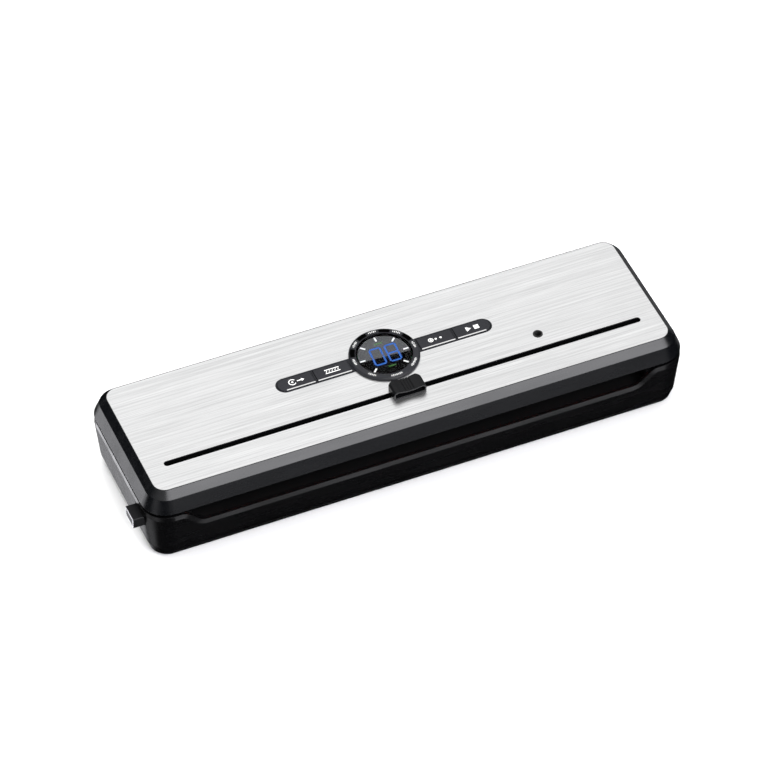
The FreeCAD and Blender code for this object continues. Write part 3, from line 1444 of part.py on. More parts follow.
def main():
    bottom_cover()
    rubber_feet()
    base_housing()
    base_deck()
    gasket("lower_gasket", deck_z - size("gasket_seat"), seal_z - size("gasket_gap") / 2)
    tape_top = heater()
    trough_nozzle()
    base_screws()
    pump()
    vacuum_hose()
    power()
    mains_inlet()
    latch()
    hinge_pins()
    lid_shell()
    steel_panel()
    lid_inner()
    gasket("upper_gasket", seal_z + size("gasket_gap") / 2, inner_z + size("lid_gasket_seat"))
    sealing_pad(tape_top)
    lid_screws()
    lid_catches()
    button_frame()
    buttons()
    display()
    port_bush()
    cutter()
    check_document()
    for label, item in NODES.items():
        written = item.Shape.copy()
        written.translate(Vector(origin_shift.value, 0, 0))
        written.exportStep(f"parts/{label}.step")
    print(len(NODES), "sub-parts written")


main()
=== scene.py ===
import json
import math

import bmesh
import bpy
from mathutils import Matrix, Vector


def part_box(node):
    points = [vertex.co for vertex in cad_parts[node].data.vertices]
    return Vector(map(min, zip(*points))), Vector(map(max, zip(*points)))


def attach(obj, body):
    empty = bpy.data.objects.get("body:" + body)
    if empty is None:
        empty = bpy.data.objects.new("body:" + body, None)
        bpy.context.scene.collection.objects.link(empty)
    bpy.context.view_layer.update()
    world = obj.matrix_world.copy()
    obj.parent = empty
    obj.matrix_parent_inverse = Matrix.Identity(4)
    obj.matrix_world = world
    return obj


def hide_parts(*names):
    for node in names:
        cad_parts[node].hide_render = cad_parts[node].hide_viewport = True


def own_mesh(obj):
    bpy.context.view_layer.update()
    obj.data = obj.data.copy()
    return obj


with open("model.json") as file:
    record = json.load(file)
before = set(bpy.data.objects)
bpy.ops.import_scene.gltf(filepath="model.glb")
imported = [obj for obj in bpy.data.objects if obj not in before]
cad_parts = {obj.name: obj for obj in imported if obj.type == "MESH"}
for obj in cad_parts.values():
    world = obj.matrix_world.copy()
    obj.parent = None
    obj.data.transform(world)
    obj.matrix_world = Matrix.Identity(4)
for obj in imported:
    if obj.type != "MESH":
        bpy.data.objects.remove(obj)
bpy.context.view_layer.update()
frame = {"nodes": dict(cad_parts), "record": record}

# Looks of the vacuum sealer: materials for every CAD node, the small printed and lit pieces on the
# lid, the latch's trim and spring coil, and the studio. Painted light among them: a reflection on
# the dial's face, glints along the caps' front edges, a faint glow on the white print and shade in
# the foam's pits. Lengths are in metres, in the CAD model's own frame.

MM = 0.001
NODES = frame["nodes"]


# ---------------------------------------------------------------- node material helpers


class Shader:
    """A material's node tree, with short calls for the nodes that the finishes share."""

    def __init__(self, name, colour=(0.5, 0.5, 0.5), roughness=0.5, metallic=0.0, ior=1.45):
        self.material = bpy.data.materials.new(name)
        self.material.use_nodes = True
        self.tree = self.material.node_tree
        self.surface = next(n for n in self.tree.nodes if n.type == "BSDF_PRINCIPLED")
        self.set("Base Color", (*colour, 1.0))
        self.set("Roughness", roughness)
        self.set("Metallic", metallic)
        self.set("IOR", ior)
        self.place = self.node("ShaderNodeTexCoord").outputs["Object"]

    def set(self, socket, value):
        self.surface.inputs[socket].default_value = value

    def node(self, kind, **settings):
        node = self.tree.nodes.new(kind)
        for key, value in settings.items():
            setattr(node, key, value)
        return node

    def link(self, source, target):
        self.tree.links.new(source, target)

    def stretched(self, scale):
        mapping = self.node("ShaderNodeMapping")
        mapping.inputs["Scale"].default_value = scale
        self.link(self.place, mapping.inputs["Vector"])
        return mapping.outputs["Vector"]

    def noise(self, scale, detail=3.0, roughness=0.55, stretch=(1, 1, 1)):
        noise = self.node("ShaderNodeTexNoise")
        noise.inputs["Scale"].default_value = scale
        noise.inputs["Detail"].default_value = detail
        noise.inputs["Roughness"].default_value = roughness
        self.link(self.stretched(stretch), noise.inputs["Vector"])
        return noise.outputs["Fac"]

    def cells(self, scale, feature="F1"):
        cells = self.node("ShaderNodeTexVoronoi", feature=feature)
        cells.inputs["Scale"].default_value = scale
        self.link(self.place, cells.inputs["Vector"])
        return cells.outputs["Distance"]

    def ramp(self, factor, low, high, start=0.3, end=0.7):
        """Map a factor between two numbers."""
        node = self.node("ShaderNodeMapRange")
        node.inputs["From Min"].default_value = start
        node.inputs["From Max"].default_value = end
        node.inputs["To Min"].default_value = low
        node.inputs["To Max"].default_value = high
        self.link(factor, node.inputs["Value"])
        return node.outputs["Result"]

    def mix(self, factor, first, second):
        """Blend two colours by a factor; either may be a socket."""
        node = self.node("ShaderNodeMix", data_type="RGBA")
        self.link(factor, node.inputs["Factor"])
        for socket, colour in zip([s for s in node.inputs if s.type == "RGBA"], (first, second)):
            if hasattr(colour, "node"):
                self.link(colour, socket)
            else:
                socket.default_value = (*colour, 1.0)
        return next(s for s in node.outputs if s.type == "RGBA")

    def add(self, first, second, weight=1.0):
        node = self.node("ShaderNodeMath", operation="MULTIPLY_ADD")
        self.link(second, node.inputs[0])
        node.inputs[1].default_value = weight
        self.link(first, node.inputs[2])
        return node.outputs[0]

    def colour(self, socket):
        self.link(socket, self.surface.inputs["Base Color"])

    def rough(self, socket):
        self.link(socket, self.surface.inputs["Roughness"])

    def bump(self, height, depth, edge=0.0):
        """Raise the surface by a height, over edges softened by a small radius."""
        node = self.node("ShaderNodeBump")
        node.inputs["Distance"].default_value = depth
        self.link(height, node.inputs["Height"])
        if edge:
            soft = self.node("ShaderNodeBevel", samples=4)
            soft.inputs["Radius"].default_value = edge
            self.link(soft.outputs["Normal"], node.inputs["Normal"])
        self.link(node.outputs["Normal"], self.surface.inputs["Normal"])


def moulded(name, colour, roughness=0.4, grain=0.35 * MM, depth=0.01 * MM, ior=1.45, wear=0.25,
            edge=0.0):
    """Injection moulded plastic: spark-eroded grain, faint rub marks and uneven gloss."""
    s = Shader(name, colour, roughness, ior=ior)
    grain_height = s.noise(1 / grain, detail=2.0)
    cloud = s.noise(28.0, detail=4.0)
    rub = s.noise(60.0, detail=5.0, stretch=(0.25, 1.4, 1.4))
    light = tuple(min(1.0, c * (1.0 + wear)) for c in colour)
    s.colour(s.mix(s.ramp(cloud, 0.0, 1.0, 0.35, 0.75), colour, light))
    s.rough(s.add(s.ramp(rub, roughness - 0.05, roughness + 0.07), grain_height, 0.05))
    s.bump(grain_height, depth, edge)
    return s.material


def brushed(name, colour, roughness=0.28, along=(1.2, 60, 60), depth=0.006 * MM, contrast=0.12):
    """Brushed metal: long fine scratches at two scales, over slow changes of tone."""
    s = Shader(name, colour, roughness, metallic=1.0)
    fine = s.noise(48.0, detail=6.0, roughness=0.7, stretch=along)
    broad = s.noise(14.0, detail=3.0, roughness=0.5, stretch=tuple(a * 0.8 for a in along))
    cloud = s.noise(9.0, detail=2.0)
    streaks = s.add(s.ramp(fine, 0.0, 1.0, 0.35, 0.65), s.ramp(broad, -0.5, 0.5, 0.3, 0.7), 0.6)
    dark = tuple(c * (1 - contrast) for c in colour)
    s.colour(s.mix(s.ramp(streaks, 0.0, 1.0, 0.0, 1.0), dark, colour))
    s.rough(s.add(s.ramp(fine, roughness + 0.08, roughness - 0.05), cloud, 0.08))
    s.bump(s.add(fine, broad, 0.4), depth)
    return s.material


def foam(name, colour):
    """Closed cell foam: open pits of two sizes in a dull skin, with painted shade darkening the
    pits.
    """
    s = Shader(name, colour, 0.85)
    big = s.cells(1 / (0.9 * MM))
    small = s.cells(1 / (0.35 * MM))
    pits = s.add(big, small, 0.5)
    # Painted shade: the pits are darker than the skin.
    dark = tuple(c * 0.35 for c in colour)
    s.colour(s.mix(s.ramp(pits, 0.0, 1.0, 0.1, 0.7), dark, colour))
    s.rough(s.ramp(s.noise(200.0), 0.75, 0.95))
    s.bump(pits, 0.12 * MM)
    return s.material


def rubber(name, colour, roughness=0.6, grain=0.5 * MM):
    """Moulded rubber: a dull bloom and a soft orange-peel surface."""
    s = Shader(name, colour, roughness, ior=1.4)
    bloom = s.noise(90.0, detail=5.0)
    pale = tuple(min(1.0, c * 1.5 + 0.01) for c in colour)
    s.colour(s.mix(s.ramp(bloom, 0.0, 0.6, 0.45, 0.8), colour, pale))
    s.rough(s.ramp(bloom, roughness - 0.08, roughness + 0.12))
    s.bump(s.noise(1 / grain, detail=3.0), 0.02 * MM)
    return s.material


def woven(name, colour):
    """Coated glass cloth: a fine plain weave under a smooth film."""
    s = Shader(name, colour, 0.45)
    waves = []
    for axis in ("X", "Y"):
        wave = s.node("ShaderNodeTexWave", wave_type="BANDS", bands_direction=axis)
        wave.inputs["Scale"].default_value = 1 / (1.1 * MM)
        wave.inputs["Distortion"].default_value = 0.4
        s.link(s.place, wave.inputs["Vector"])
        waves.append(wave.outputs["Fac"])
    weave = s.add(waves[0], waves[1])
    dark = tuple(c * 0.6 for c in colour)
    s.colour(s.mix(s.ramp(weave, 0.0, 1.0, 0.3, 1.7), dark, colour))
    s.rough(s.ramp(s.noise(150.0), 0.35, 0.6))
    s.bump(weave, 0.03 * MM)
    return s.material


def circuit_board(name, colour):
    """Solder mask over copper: pale tracks in blocks."""
    s = Shader(name, colour, 0.35)
    tracks = s.node("ShaderNodeTexBrick")
    tracks.inputs["Scale"].default_value = 220.0
    tracks.inputs["Mortar Size"].default_value = 0.06
    tracks.inputs["Color1"].default_value = (1, 1, 1, 1)
    tracks.inputs["Color2"].default_value = (0.8, 0.8, 0.8, 1)
    tracks.inputs["Mortar"].default_value = (0, 0, 0, 1)
    s.link(s.place, tracks.inputs["Vector"])
    pale = tuple(min(1.0, c * 1.7) for c in colour)
    s.colour(s.mix(tracks.outputs["Color"], pale, colour))
    s.rough(s.ramp(s.noise(300.0), 0.28, 0.45))
    s.bump(tracks.outputs["Color"], 0.02 * MM)
    return s.material


def smoked_glass(name):
    s = Shader(name, (0.8, 0.81, 0.83), 0.02, ior=1.12)
    s.set("Transmission Weight", 1.0)
    smear = s.noise(120.0, detail=4.0)
    s.rough(s.ramp(smear, 0.01, 0.05))
    s.bump(smear, 0.001 * MM)
    return s.material


def lit(name, colour, strength):
    """Ink or a lit segment: even colour with a faint printed grain, and a glow; on ink the glow is
    painted light.
    """
    s = Shader(name, colour, 0.4)
    grain = s.noise(1 / (0.2 * MM))
    dim = tuple(c * 0.8 for c in colour)
    s.colour(s.mix(s.ramp(grain, 0.0, 1.0), dim, colour))
    s.set("Emission Color", (*colour, 1.0))
    s.set("Emission Strength", strength)
    return s.material


# The dial's face carries a painted reflection: grey over its upper part, above a leaning soft edge,
# and clear black below.
PAINTED_REFLECTION_LEAN = 0.06            # slope of the painted reflection's lower edge
PAINTED_REFLECTION_DROP = 1.6 * MM        # how far that edge lies below the dial's middle
PAINTED_REFLECTION_EDGE = 0.1 * MM        # half the edge's softness
PAINTED_REFLECTION_DOTS = 0.5 * MM
PAINTED_REFLECTION_DARK, PAINTED_REFLECTION_PALE = (0.078, 0.079, 0.078), (0.098, 0.099, 0.098)
CLEAR_BLACK = (0.0004, 0.0004, 0.0005)


def painted_reflection_film(name, centre):
    """The dial's face: a painted reflection, grey and dotted, over its upper part and clear black
    below.
    """
    s = Shader(name, (0.01, 0.01, 0.011), 0.12, ior=1.05)
    parts = s.node("ShaderNodeSeparateXYZ")
    s.link(s.place, parts.inputs["Vector"])
    leaning = s.add(parts.outputs["Y"], parts.outputs["X"], PAINTED_REFLECTION_LEAN)
    edge_y = centre.y + centre.x * PAINTED_REFLECTION_LEAN - PAINTED_REFLECTION_DROP
    edge = s.ramp(leaning, 0.0, 1.0, edge_y - PAINTED_REFLECTION_EDGE, edge_y + PAINTED_REFLECTION_EDGE)
    dots = s.cells(1 / PAINTED_REFLECTION_DOTS)
    painted_reflection_tone = s.mix(s.ramp(dots, 0.0, 1.0, 0.1, 0.6), PAINTED_REFLECTION_DARK, PAINTED_REFLECTION_PALE)
    # Painted reflection: the grey lies above the edge, the black below it.
    s.colour(s.mix(edge, CLEAR_BLACK, painted_reflection_tone))
    s.rough(s.ramp(s.noise(200.0), 0.1, 0.2))
    return s.material


MATERIALS = {
    "black_plastic": moulded("black_plastic", (0.0018, 0.0021, 0.0028), 0.22, ior=1.42,
                             edge=0.4 * MM),
    "satin_plastic": moulded("satin_plastic", (0.003, 0.003, 0.0032), 0.5, grain=0.5 * MM,
                             depth=0.02 * MM, ior=1.2),
    "brushed_steel": brushed("brushed_steel", (0.94, 0.943, 0.945), along=(0.45, 75, 75),
                             contrast=0.3),
    "gloss_black": moulded("gloss_black", (0.015, 0.0155, 0.018), 0.35, grain=0.25 * MM,
                           depth=0.004 * MM, ior=1.28),
    "lens_glass": smoked_glass("lens_glass"),
    "display_black": moulded("display_black", (0.003, 0.003, 0.0033), 0.25, depth=0.001 * MM,
                             ior=1.2),
    "grip_plastic": moulded("grip_plastic", (0.003, 0.0031, 0.0036), 0.34, grain=0.3 * MM,
                            ior=1.27, edge=0.25 * MM),
    "silver_trim": brushed("silver_trim", (0.8, 0.8, 0.82), 0.25, along=(60, 2, 60)),
    "foam_gasket": foam("foam_gasket", (0.05, 0.05, 0.053)),
    "silicone": rubber("silicone", (0.45, 0.07, 0.05), 0.45),
    "rubber": rubber("rubber", (0.012, 0.012, 0.012), 0.65),
    "heater_ceramic": moulded("heater_ceramic", (0.6, 0.57, 0.5), 0.55, grain=0.4 * MM, wear=0.1),
    "ribbon_metal": brushed("ribbon_metal", (0.62, 0.62, 0.63), 0.3),
    "release_tape": woven("release_tape", (0.32, 0.2, 0.1)),
    "screw_steel": brushed("screw_steel", (0.55, 0.55, 0.56), 0.35, along=(20, 20, 20)),
    "motor_steel": brushed("motor_steel", (0.55, 0.55, 0.56), 0.32, along=(60, 3, 3)),
    "pump_plastic": moulded("pump_plastic", (0.05, 0.05, 0.055), 0.45),
    "board_green": circuit_board("board_green", (0.01, 0.12, 0.04)),
    "component_black": moulded("component_black", (0.02, 0.02, 0.024), 0.4),
    "contact_metal": brushed("contact_metal", (0.7, 0.55, 0.25), 0.25, along=(20, 3, 20)),
    "housing_plastic": moulded("housing_plastic", (0.0018, 0.0018, 0.002), 0.24, ior=1.27,
                               edge=0.4 * MM),
}

# Nodes that look different from the rest of their record slot.
FINISH_OF = {
    "base_housing": "housing_plastic",
    "bottom_cover": "housing_plastic",
    "latch_button_insert": "grip_plastic",
}


def dress_cad_nodes():
    """Give every CAD node its one material."""
    for entry in frame["record"]["subparts"]:
        mesh = NODES[entry["node"]].data
        mesh.materials.clear()
        finish = FINISH_OF.get(entry["node"], entry["material_slot"])
        mesh.materials.append(MATERIALS[finish])


# ---------------------------------------------------------------- mesh helpers

BEVEL_SEGMENTS = 3


def piece(name, bm, material, body, bevel=0.0):
    """Finish a mesh as a piece of the object that rides on a body."""
    mesh = bpy.data.meshes.new(name)
    bmesh.ops.recalc_face_normals(bm, faces=bm.faces)
    bm.to_mesh(mesh)
    bm.free()
    mesh.materials.append(material)
    made = bpy.data.objects.new(name, mesh)
    bpy.context.scene.collection.objects.link(made)
    if bevel:
        rounding = made.modifiers.new("rounding", "BEVEL")
        rounding.width = bevel
        rounding.segments = BEVEL_SEGMENTS
        rounding.limit_method = "ANGLE"
    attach(made, body)
    return made


def prism(bm, outline, low, high):
    """Add a straight-sided solid with a flat outline."""
    bottom = [bm.verts.new((x, y, low)) for x, y in outline]
    top = [bm.verts.new((x, y, high)) for x, y in outline]
    bm.faces.new(bottom[::-1])
    bm.faces.new(top)
    for i in range(len(outline)):
        j = (i + 1) % len(outline)
        bm.faces.new((bottom[i], bottom[j], top[j], top[i]))


def turned(points, angle, centre):
    """Points turned about the origin and moved to a centre."""
    c, s = math.cos(angle), math.sin(angle)
    return [(centre[0] + x * c - y * s, centre[1] + x * s + y * c) for x, y in points]


def bar(length, width):
    """A flat bar's outline, centred."""
    x, y = length / 2, width / 2
    return [(-x, -y), (x, -y), (x, y), (-x, y)]


def rectangle(low_x, low_y, high_x, high_y):
    """A flat rectangle's outline, between two corners."""
    return [(low_x, low_y), (high_x, low_y), (high_x, high_y), (low_x, high_y)]


def circle_points(radius, count=20, centre=(0, 0)):
    """A circle's outline."""
    return [(centre[0] + radius * math.cos(2 * math.pi * i / count),
             centre[1] + radius * math.sin(2 * math.pi * i / count)) for i in range(count)]


def on_circle(centre, radius, angle):
    """The point on a circle at an angle in radians."""
    return centre[0] + radius * math.cos(angle), centre[1] + radius * math.sin(angle)


def arc_band(centre, inner, outer, start, end, steps=16):
    """Part of a flat ring, between two angles in degrees."""
    angles = [math.radians(start + (end - start) * i / steps) for i in range(steps + 1)]
    outside = [on_circle(centre, outer, a) for a in angles]
    inside = [on_circle(centre, inner, a) for a in angles]
    return outside + inside[::-1]


# ---------------------------------------------------------------- display

RING_LOW, RING_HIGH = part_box("display_ring")
MODULE_LOW, MODULE_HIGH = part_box("display_module")
DIAL = (RING_LOW + RING_HIGH) / 2
PRINT = 0.08 * MM                       # thickness of the dial's film and of the print on it
FACE_Z = MODULE_HIGH.z + 0.02 * MM      # underside of the film, just off the module
FACE_STEPS = 96
FACE_CORE = 0.0001                      # inner radius of the outline, dropped with its inner points

DIGIT_HEIGHT, DIGIT_WIDTH = 14.4 * MM, 7.2 * MM
DIGIT_LEAN = 0.06
DIGIT_BAR = 1.15 * MM
DIGIT_LIFT = 0.2 * MM
DIGIT_OFFSETS = (-4.4 * MM, 6.0 * MM)
BAR_GAP = 1.25                          # how much shorter a segment is than its side, in bar widths

TICK_RADIUS = 15.0 * MM
TICK_LENGTH, TICK_WIDTH = 3.6 * MM, 1.1 * MM
TICK_ANGLES = (0, 45, 90, 135, 180, 225, 315)

LEVEL_SPOTS = ((0.2, 10.9), (1.2, -10.6))   # in millimetres from the dial's middle
LEVEL_COUNT = 4
LEVEL_PITCH = 1.35
LEVEL_LENGTH, LEVEL_WIDTH = 0.9 * MM, 0.95 * MM

INLAY_INNER, INLAY_OUTER = 18.9 * MM, 22.05 * MM
INLAY_ANGLES = (22.5, 67.5, 112.5, 157.5)
INLAY_HALF = 10
RING_PRINT = 0.03 * MM                  # how far the ring's print reaches above and below its top
DASH_RADIUS = 20.6 * MM
DASH_PITCH = 3.2                        # degrees
DASH_WIDTH = 0.42 * MM
DASH_SHORT, DASH_LONG = 1.1, 1.7        # millimetres
DASH_GROUPS = range(0, 360, 45)         # the middle of each group, in degrees
LONG_GROUPS = (270, 315)
LONG_COUNT, SHORT_COUNT = 7, 5          # dashes in a group

BLUE = lit("display_blue", (0.0, 0.085, 0.4), 0.42)
GREEN = lit("display_green", (0.035, 0.17, 0.015), 0.36)
# The white print on the ring and the caps glows faintly: painted light.
GLOWING_PRINT = lit("print_white_painted_glow", (0.85, 0.85, 0.83), 0.1)
TICK = lit("display_tick", (0.85, 0.85, 0.82), 0.4)
BLACK = moulded("ring_inlay", (0.0006, 0.0006, 0.0006), 0.8, ior=1.05)


def print_on_face(bm, outline):
    """Add a flat shape that stands on the dial's film."""
    prism(bm, outline, FACE_Z + PRINT, FACE_Z + PRINT * 2)


def print_on_ring(bm, outline):
    """Add a flat shape let into the ring's top."""
    prism(bm, outline, RING_HIGH.z - RING_PRINT, RING_HIGH.z + RING_PRINT)


def display_face():
    """The round film over the display module, with a painted reflection on its upper part."""
    bm = bmesh.new()
    radius = (MODULE_HIGH.x - MODULE_LOW.x) / 2
    outline = arc_band(DIAL, FACE_CORE, radius, 0, 360, FACE_STEPS)[:FACE_STEPS]
    prism(bm, outline, FACE_Z, FACE_Z + PRINT)
    piece("display_face", bm, painted_reflection_film("painted_reflection_film", DIAL), "lid")


def seven_segments(bm, centre, lit_segments):
    """One digit's bars, top first and clockwise, with the middle one last."""
    half_w, half_h = DIGIT_WIDTH / 2, DIGIT_HEIGHT / 2
    places = {
        "top": ((0, half_h), 0),
        "upper_right": ((half_w, half_h / 2), 90),
        "lower_right": ((half_w, -half_h / 2), 90),
        "bottom": ((0, -half_h), 0),
        "lower_left": ((-half_w, -half_h / 2), 90),
        "upper_left": ((-half_w, half_h / 2), 90),
        "middle": ((0, 0), 0),
    }
    for name in lit_segments:
        (x, y), degrees = places[name]
        length = (DIGIT_WIDTH if degrees == 0 else half_h) - DIGIT_BAR * BAR_GAP
        tip = DIGIT_BAR / 2
        shape = [(-length / 2 - tip, 0), (-length / 2, -tip), (length / 2, -tip),
                 (length / 2 + tip, 0), (length / 2, tip), (-length / 2, tip)]
        outline = turned(shape, math.radians(degrees), (x, y))
        leaned = [(centre[0] + px + py * DIGIT_LEAN, centre[1] + py) for px, py in outline]
        print_on_face(bm, leaned)


def display_digits():
    """Two generic digits."""
    ring = ["top", "upper_right", "lower_right", "bottom", "lower_left", "upper_left"]
    bm = bmesh.new()
    for offset, segments in zip(DIGIT_OFFSETS, (ring, ring + ["middle"])):
        seven_segments(bm, (DIAL.x + offset, DIAL.y + DIGIT_LIFT), segments)
    piece("display_digits", bm, BLUE, "lid")


def display_marks():
    """Seven white ticks, and a small green level mark above and below the digits."""
    ticks = bmesh.new()
    for degrees in TICK_ANGLES:
        angle = math.radians(degrees)
        spot = on_circle(DIAL, TICK_RADIUS, angle)
        print_on_face(ticks, turned(bar(TICK_LENGTH, TICK_WIDTH), angle, spot))
    piece("display_ticks", ticks, TICK, "lid")
    marks = bmesh.new()
    for x, y in LEVEL_SPOTS:
        for i in range(LEVEL_COUNT):
            along = x + (i - (LEVEL_COUNT - 1) / 2) * LEVEL_PITCH
            spot = (DIAL.x + along * MM, DIAL.y + y * MM)
            print_on_face(marks, turned(bar(LEVEL_LENGTH, LEVEL_WIDTH), 0, spot))
    piece("display_level_marks", marks, GREEN, "lid")


def ring_marks():
    """Inlaid black arcs and small white index dashes round the bezel."""
    inlays = bmesh.new()
    for middle in INLAY_ANGLES:
        start, end = middle - INLAY_HALF, middle + INLAY_HALF
        print_on_ring(inlays, arc_band(DIAL, INLAY_INNER, INLAY_OUTER, start, end))
    piece("ring_inlays", inlays, BLACK, "lid")
    dashes = bmesh.new()
    for middle in DASH_GROUPS:
        count = LONG_COUNT if middle in LONG_GROUPS else SHORT_COUNT
        for i in range(count):
            angle = math.radians(middle + (i - (count - 1) / 2) * DASH_PITCH)
            length = (DASH_LONG if i % 2 else DASH_SHORT) * MM
            spot = on_circle(DIAL, DASH_RADIUS, angle)
            print_on_ring(dashes, turned(bar(length, DASH_WIDTH), angle, spot))
    piece("ring_dashes", dashes, GLOWING_PRINT, "lid")


# ---------------------------------------------------------------- buttons

BUTTONS = ("outer_button_left", "inner_button_left", "inner_button_right", "outer_button_right")
ROUND_END = 0.86                        # part of a cap's rounded end that the painted glint stops short of
SQUARE_END = 0.3 * MM                   # gap between the painted glint and a cap's straight end
GLINT_INSET = 0.5 * MM                   # from the cap's front edge to the painted glint's middle
GLINT_HALF = 0.42 * MM
GLINT_SINK = 0.1 * MM
CAP_PRINT = 0.03 * MM                   # how far print and the painted glint stand above a cap
ICON_SINK = 0.01 * MM
ICON_LIFT = 0.4 * MM                    # from the cap's middle towards the back


def button_painted_glints():
    """A bright metal line along the front edge of every cap: a painted glint, where a bevel's
    highlight falls.
    """
    # Painted glint: a bright strip stands in for the highlight on each cap's front bevel.
    bright = brushed("painted_glint_line", (0.95, 0.95, 0.95), 0.2)
    for name in BUTTONS:
        low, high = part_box(name)
        curve = (high.y - low.y) / 2
        start = low.x + (curve * ROUND_END if name == "outer_button_left" else SQUARE_END)
        end = high.x - (curve * ROUND_END if name == "outer_button_right" else SQUARE_END)
        y = low.y + GLINT_INSET
        outline = rectangle(start, y - GLINT_HALF, end, y + GLINT_HALF)
        bm = bmesh.new()
        prism(bm, outline, high.z - GLINT_SINK, high.z + CAP_PRINT)
        piece(f"{name}_trim", bm, bright, name)


def print_icon(name, shapes):
    """Print flat shapes, given round the cap's middle in millimetres, on top of a cap."""
    low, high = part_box(name)
    x, y = (low.x + high.x) / 2, (low.y + high.y) / 2 + ICON_LIFT
    bm = bmesh.new()
    for shape in shapes:
        outline = [(x + px * MM, y + py * MM) for px, py in shape]
        prism(bm, outline, high.z - ICON_SINK, high.z + CAP_PRINT)
    piece(f"{name}_icon", bm, GLOWING_PRINT, name)


def button_icons():
    """Generic signs: outside vacuum, seal, mode and start or stop. In millimetres."""
    arrow = [(1.2, -0.35), (4.2, -0.35), (4.2, -1.3), (6.2, 0), (4.2, 1.3), (4.2, 0.35),
             (1.2, 0.35)]
    eye = [arc_band((-2, 0), 2.0, 2.6, 35, 325, 24), circle_points(0.7, centre=(-2, 0))]
    print_icon("outer_button_left", eye + [arrow])
    lines = [rectangle(-5, y - 0.3, 5, y + 0.3) for y in (1.5, -1.5)]
    teeth = [turned(bar(1.5, 0.45), math.radians(60), (x, 0)) for x in (-4, -2, 0, 2, 4)]
    print_icon("inner_button_left", lines + teeth)
    dots = [circle_points(0.75, centre=(x, 0)) for x in (-3.4, 0, 3.4)]
    print_icon("inner_button_right", dots + [arc_band((-3.4, 0), 1.3, 1.75, 0, 359, 28)])
    play = [(-4.2, -2.0), (-0.8, 0), (-4.2, 2.0)]
    stop = rectangle(1.2, -1.7, 4.6, 1.7)
    print_icon("outer_button_right", [play, stop])


# ---------------------------------------------------------------- latch

FRAME_GAP = 0.25 * MM                   # from the frame to the button's edge and to the insert
FRAME_SINK = 0.02 * MM
FRAME_THICKNESS = 0.12 * MM
FRAME_ROUND = 0.04 * MM
BLOCK_FACES = ((0, 1, 2, 3), (7, 6, 5, 4), (0, 4, 5, 1), (1, 5, 6, 2), (2, 6, 7, 3), (3, 7, 4, 0))


def latch_trim():
    """A bright frame round the dark insert on the latch button's end."""
    low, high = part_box("latch_button")
    inner_low, inner_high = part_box("latch_button_insert")
    left, right = low.y + FRAME_GAP, high.y - FRAME_GAP
    bottom, top = low.z + FRAME_GAP, high.z - FRAME_GAP
    inner_left, inner_right = inner_low.y - FRAME_GAP, inner_high.y + FRAME_GAP
    inner_bottom, inner_top = inner_low.z - FRAME_GAP, inner_high.z + FRAME_GAP
    bars = (
        (left, bottom, inner_left, top),
        (inner_right, bottom, right, top),
        (inner_left, bottom, inner_right, inner_bottom),
        (inner_left, inner_top, inner_right, top),
    )
    face_x = low.x - FRAME_SINK
    bm = bmesh.new()
    for sides in bars:
        corners = [bm.verts.new((x, y, z)) for x in (face_x, face_x + FRAME_THICKNESS)
                   for y, z in rectangle(*sides)]
        for face in BLOCK_FACES:
            bm.faces.new([corners[i] for i in face])
    piece("latch_trim", bm, MATERIALS["silver_trim"], "latch", bevel=FRAME_ROUND)


SPRING_WIRE = 0.3 * MM                  # the wire's radius
SPRING_TURNS = 6.65
STEPS_PER_TURN = 24
WIRE_SIDES = 8


def latch_spring():
    """A coil of wire in the latch spring's box, which takes the place of the spring node."""
    low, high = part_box("latch_spring")
    middle = (low + high) / 2
    radius = (high.y - low.y) / 2 - SPRING_WIRE
    count = round(SPRING_TURNS * STEPS_PER_TURN)
    bm = bmesh.new()
    rings = []
    for i in range(count + 1):
        turn = 2 * math.pi * SPRING_TURNS * i / count
        outward = Vector((0, math.cos(turn), math.sin(turn)))
        along = low.x + SPRING_WIRE + (high.x - low.x - SPRING_WIRE * 2) * i / count
        spot = Vector((along, middle.y, middle.z)) + outward * radius
        ring = []
        for point in circle_points(SPRING_WIRE, WIRE_SIDES):
            ring.append(bm.verts.new(spot + outward * point[0] + Vector((point[1], 0, 0))))
        rings.append(ring)
    for first, second in zip(rings, rings[1:]):
        for j in range(WIRE_SIDES):
            k = (j + 1) % WIRE_SIDES
            bm.faces.new((first[j], first[k], second[k], second[j]))
    bm.faces.new(rings[0][::-1])
    bm.faces.new(rings[-1])
    made = piece("latch_spring_coil", bm, MATERIALS["screw_steel"], "base")
    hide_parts("latch_spring")
    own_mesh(made)


# ---------------------------------------------------------------- stage

FLOOR_SIZE = 6.0
FLOOR_DARK, FLOOR_PALE = (0.915, 0.915, 0.915), (0.93, 0.93, 0.93)

# The dome's brightness below and above the horizon, and where it changes between them, in the
# world's Generated coordinates.
DOME_LOW, DOME_HIGH = 0.01, 1.1
HORIZON_START, HORIZON_END = 0.38, 0.6

# Reflector patches, fixed in the world: direction from the object, brightness, and the half angles
# in degrees of the bright core and of the edge. Those below the horizon stand in for light thrown
# up by the floor, which is hidden from glossy rays.
REFLECTORS = (
    ((0.275, -0.767, 0.582), 6.3, 16, 30),
    ((0.275, -0.956, -0.084), 0.4, 12, 24),
    ((0.275, -0.777, -0.564), 3.6, 3, 11),
    ((-0.687, 0.644, -0.335), 2.6, 6, 20),
    ((-0.417, 0.644, -0.641), 6.0, 3, 9),
    ((-0.13, 0.644, -0.754), 0.7, 6, 16),
    ((0.688, 0.644, -0.334), 0.2, 14, 30),
    ((-0.669, 0.193, -0.714), 0.9, 8, 24),
    ((-0.797, -0.428, -0.403), 1.5, 9, 24),
)
PATCH_BLUE = 1.04                       # the patches are this much stronger in blue

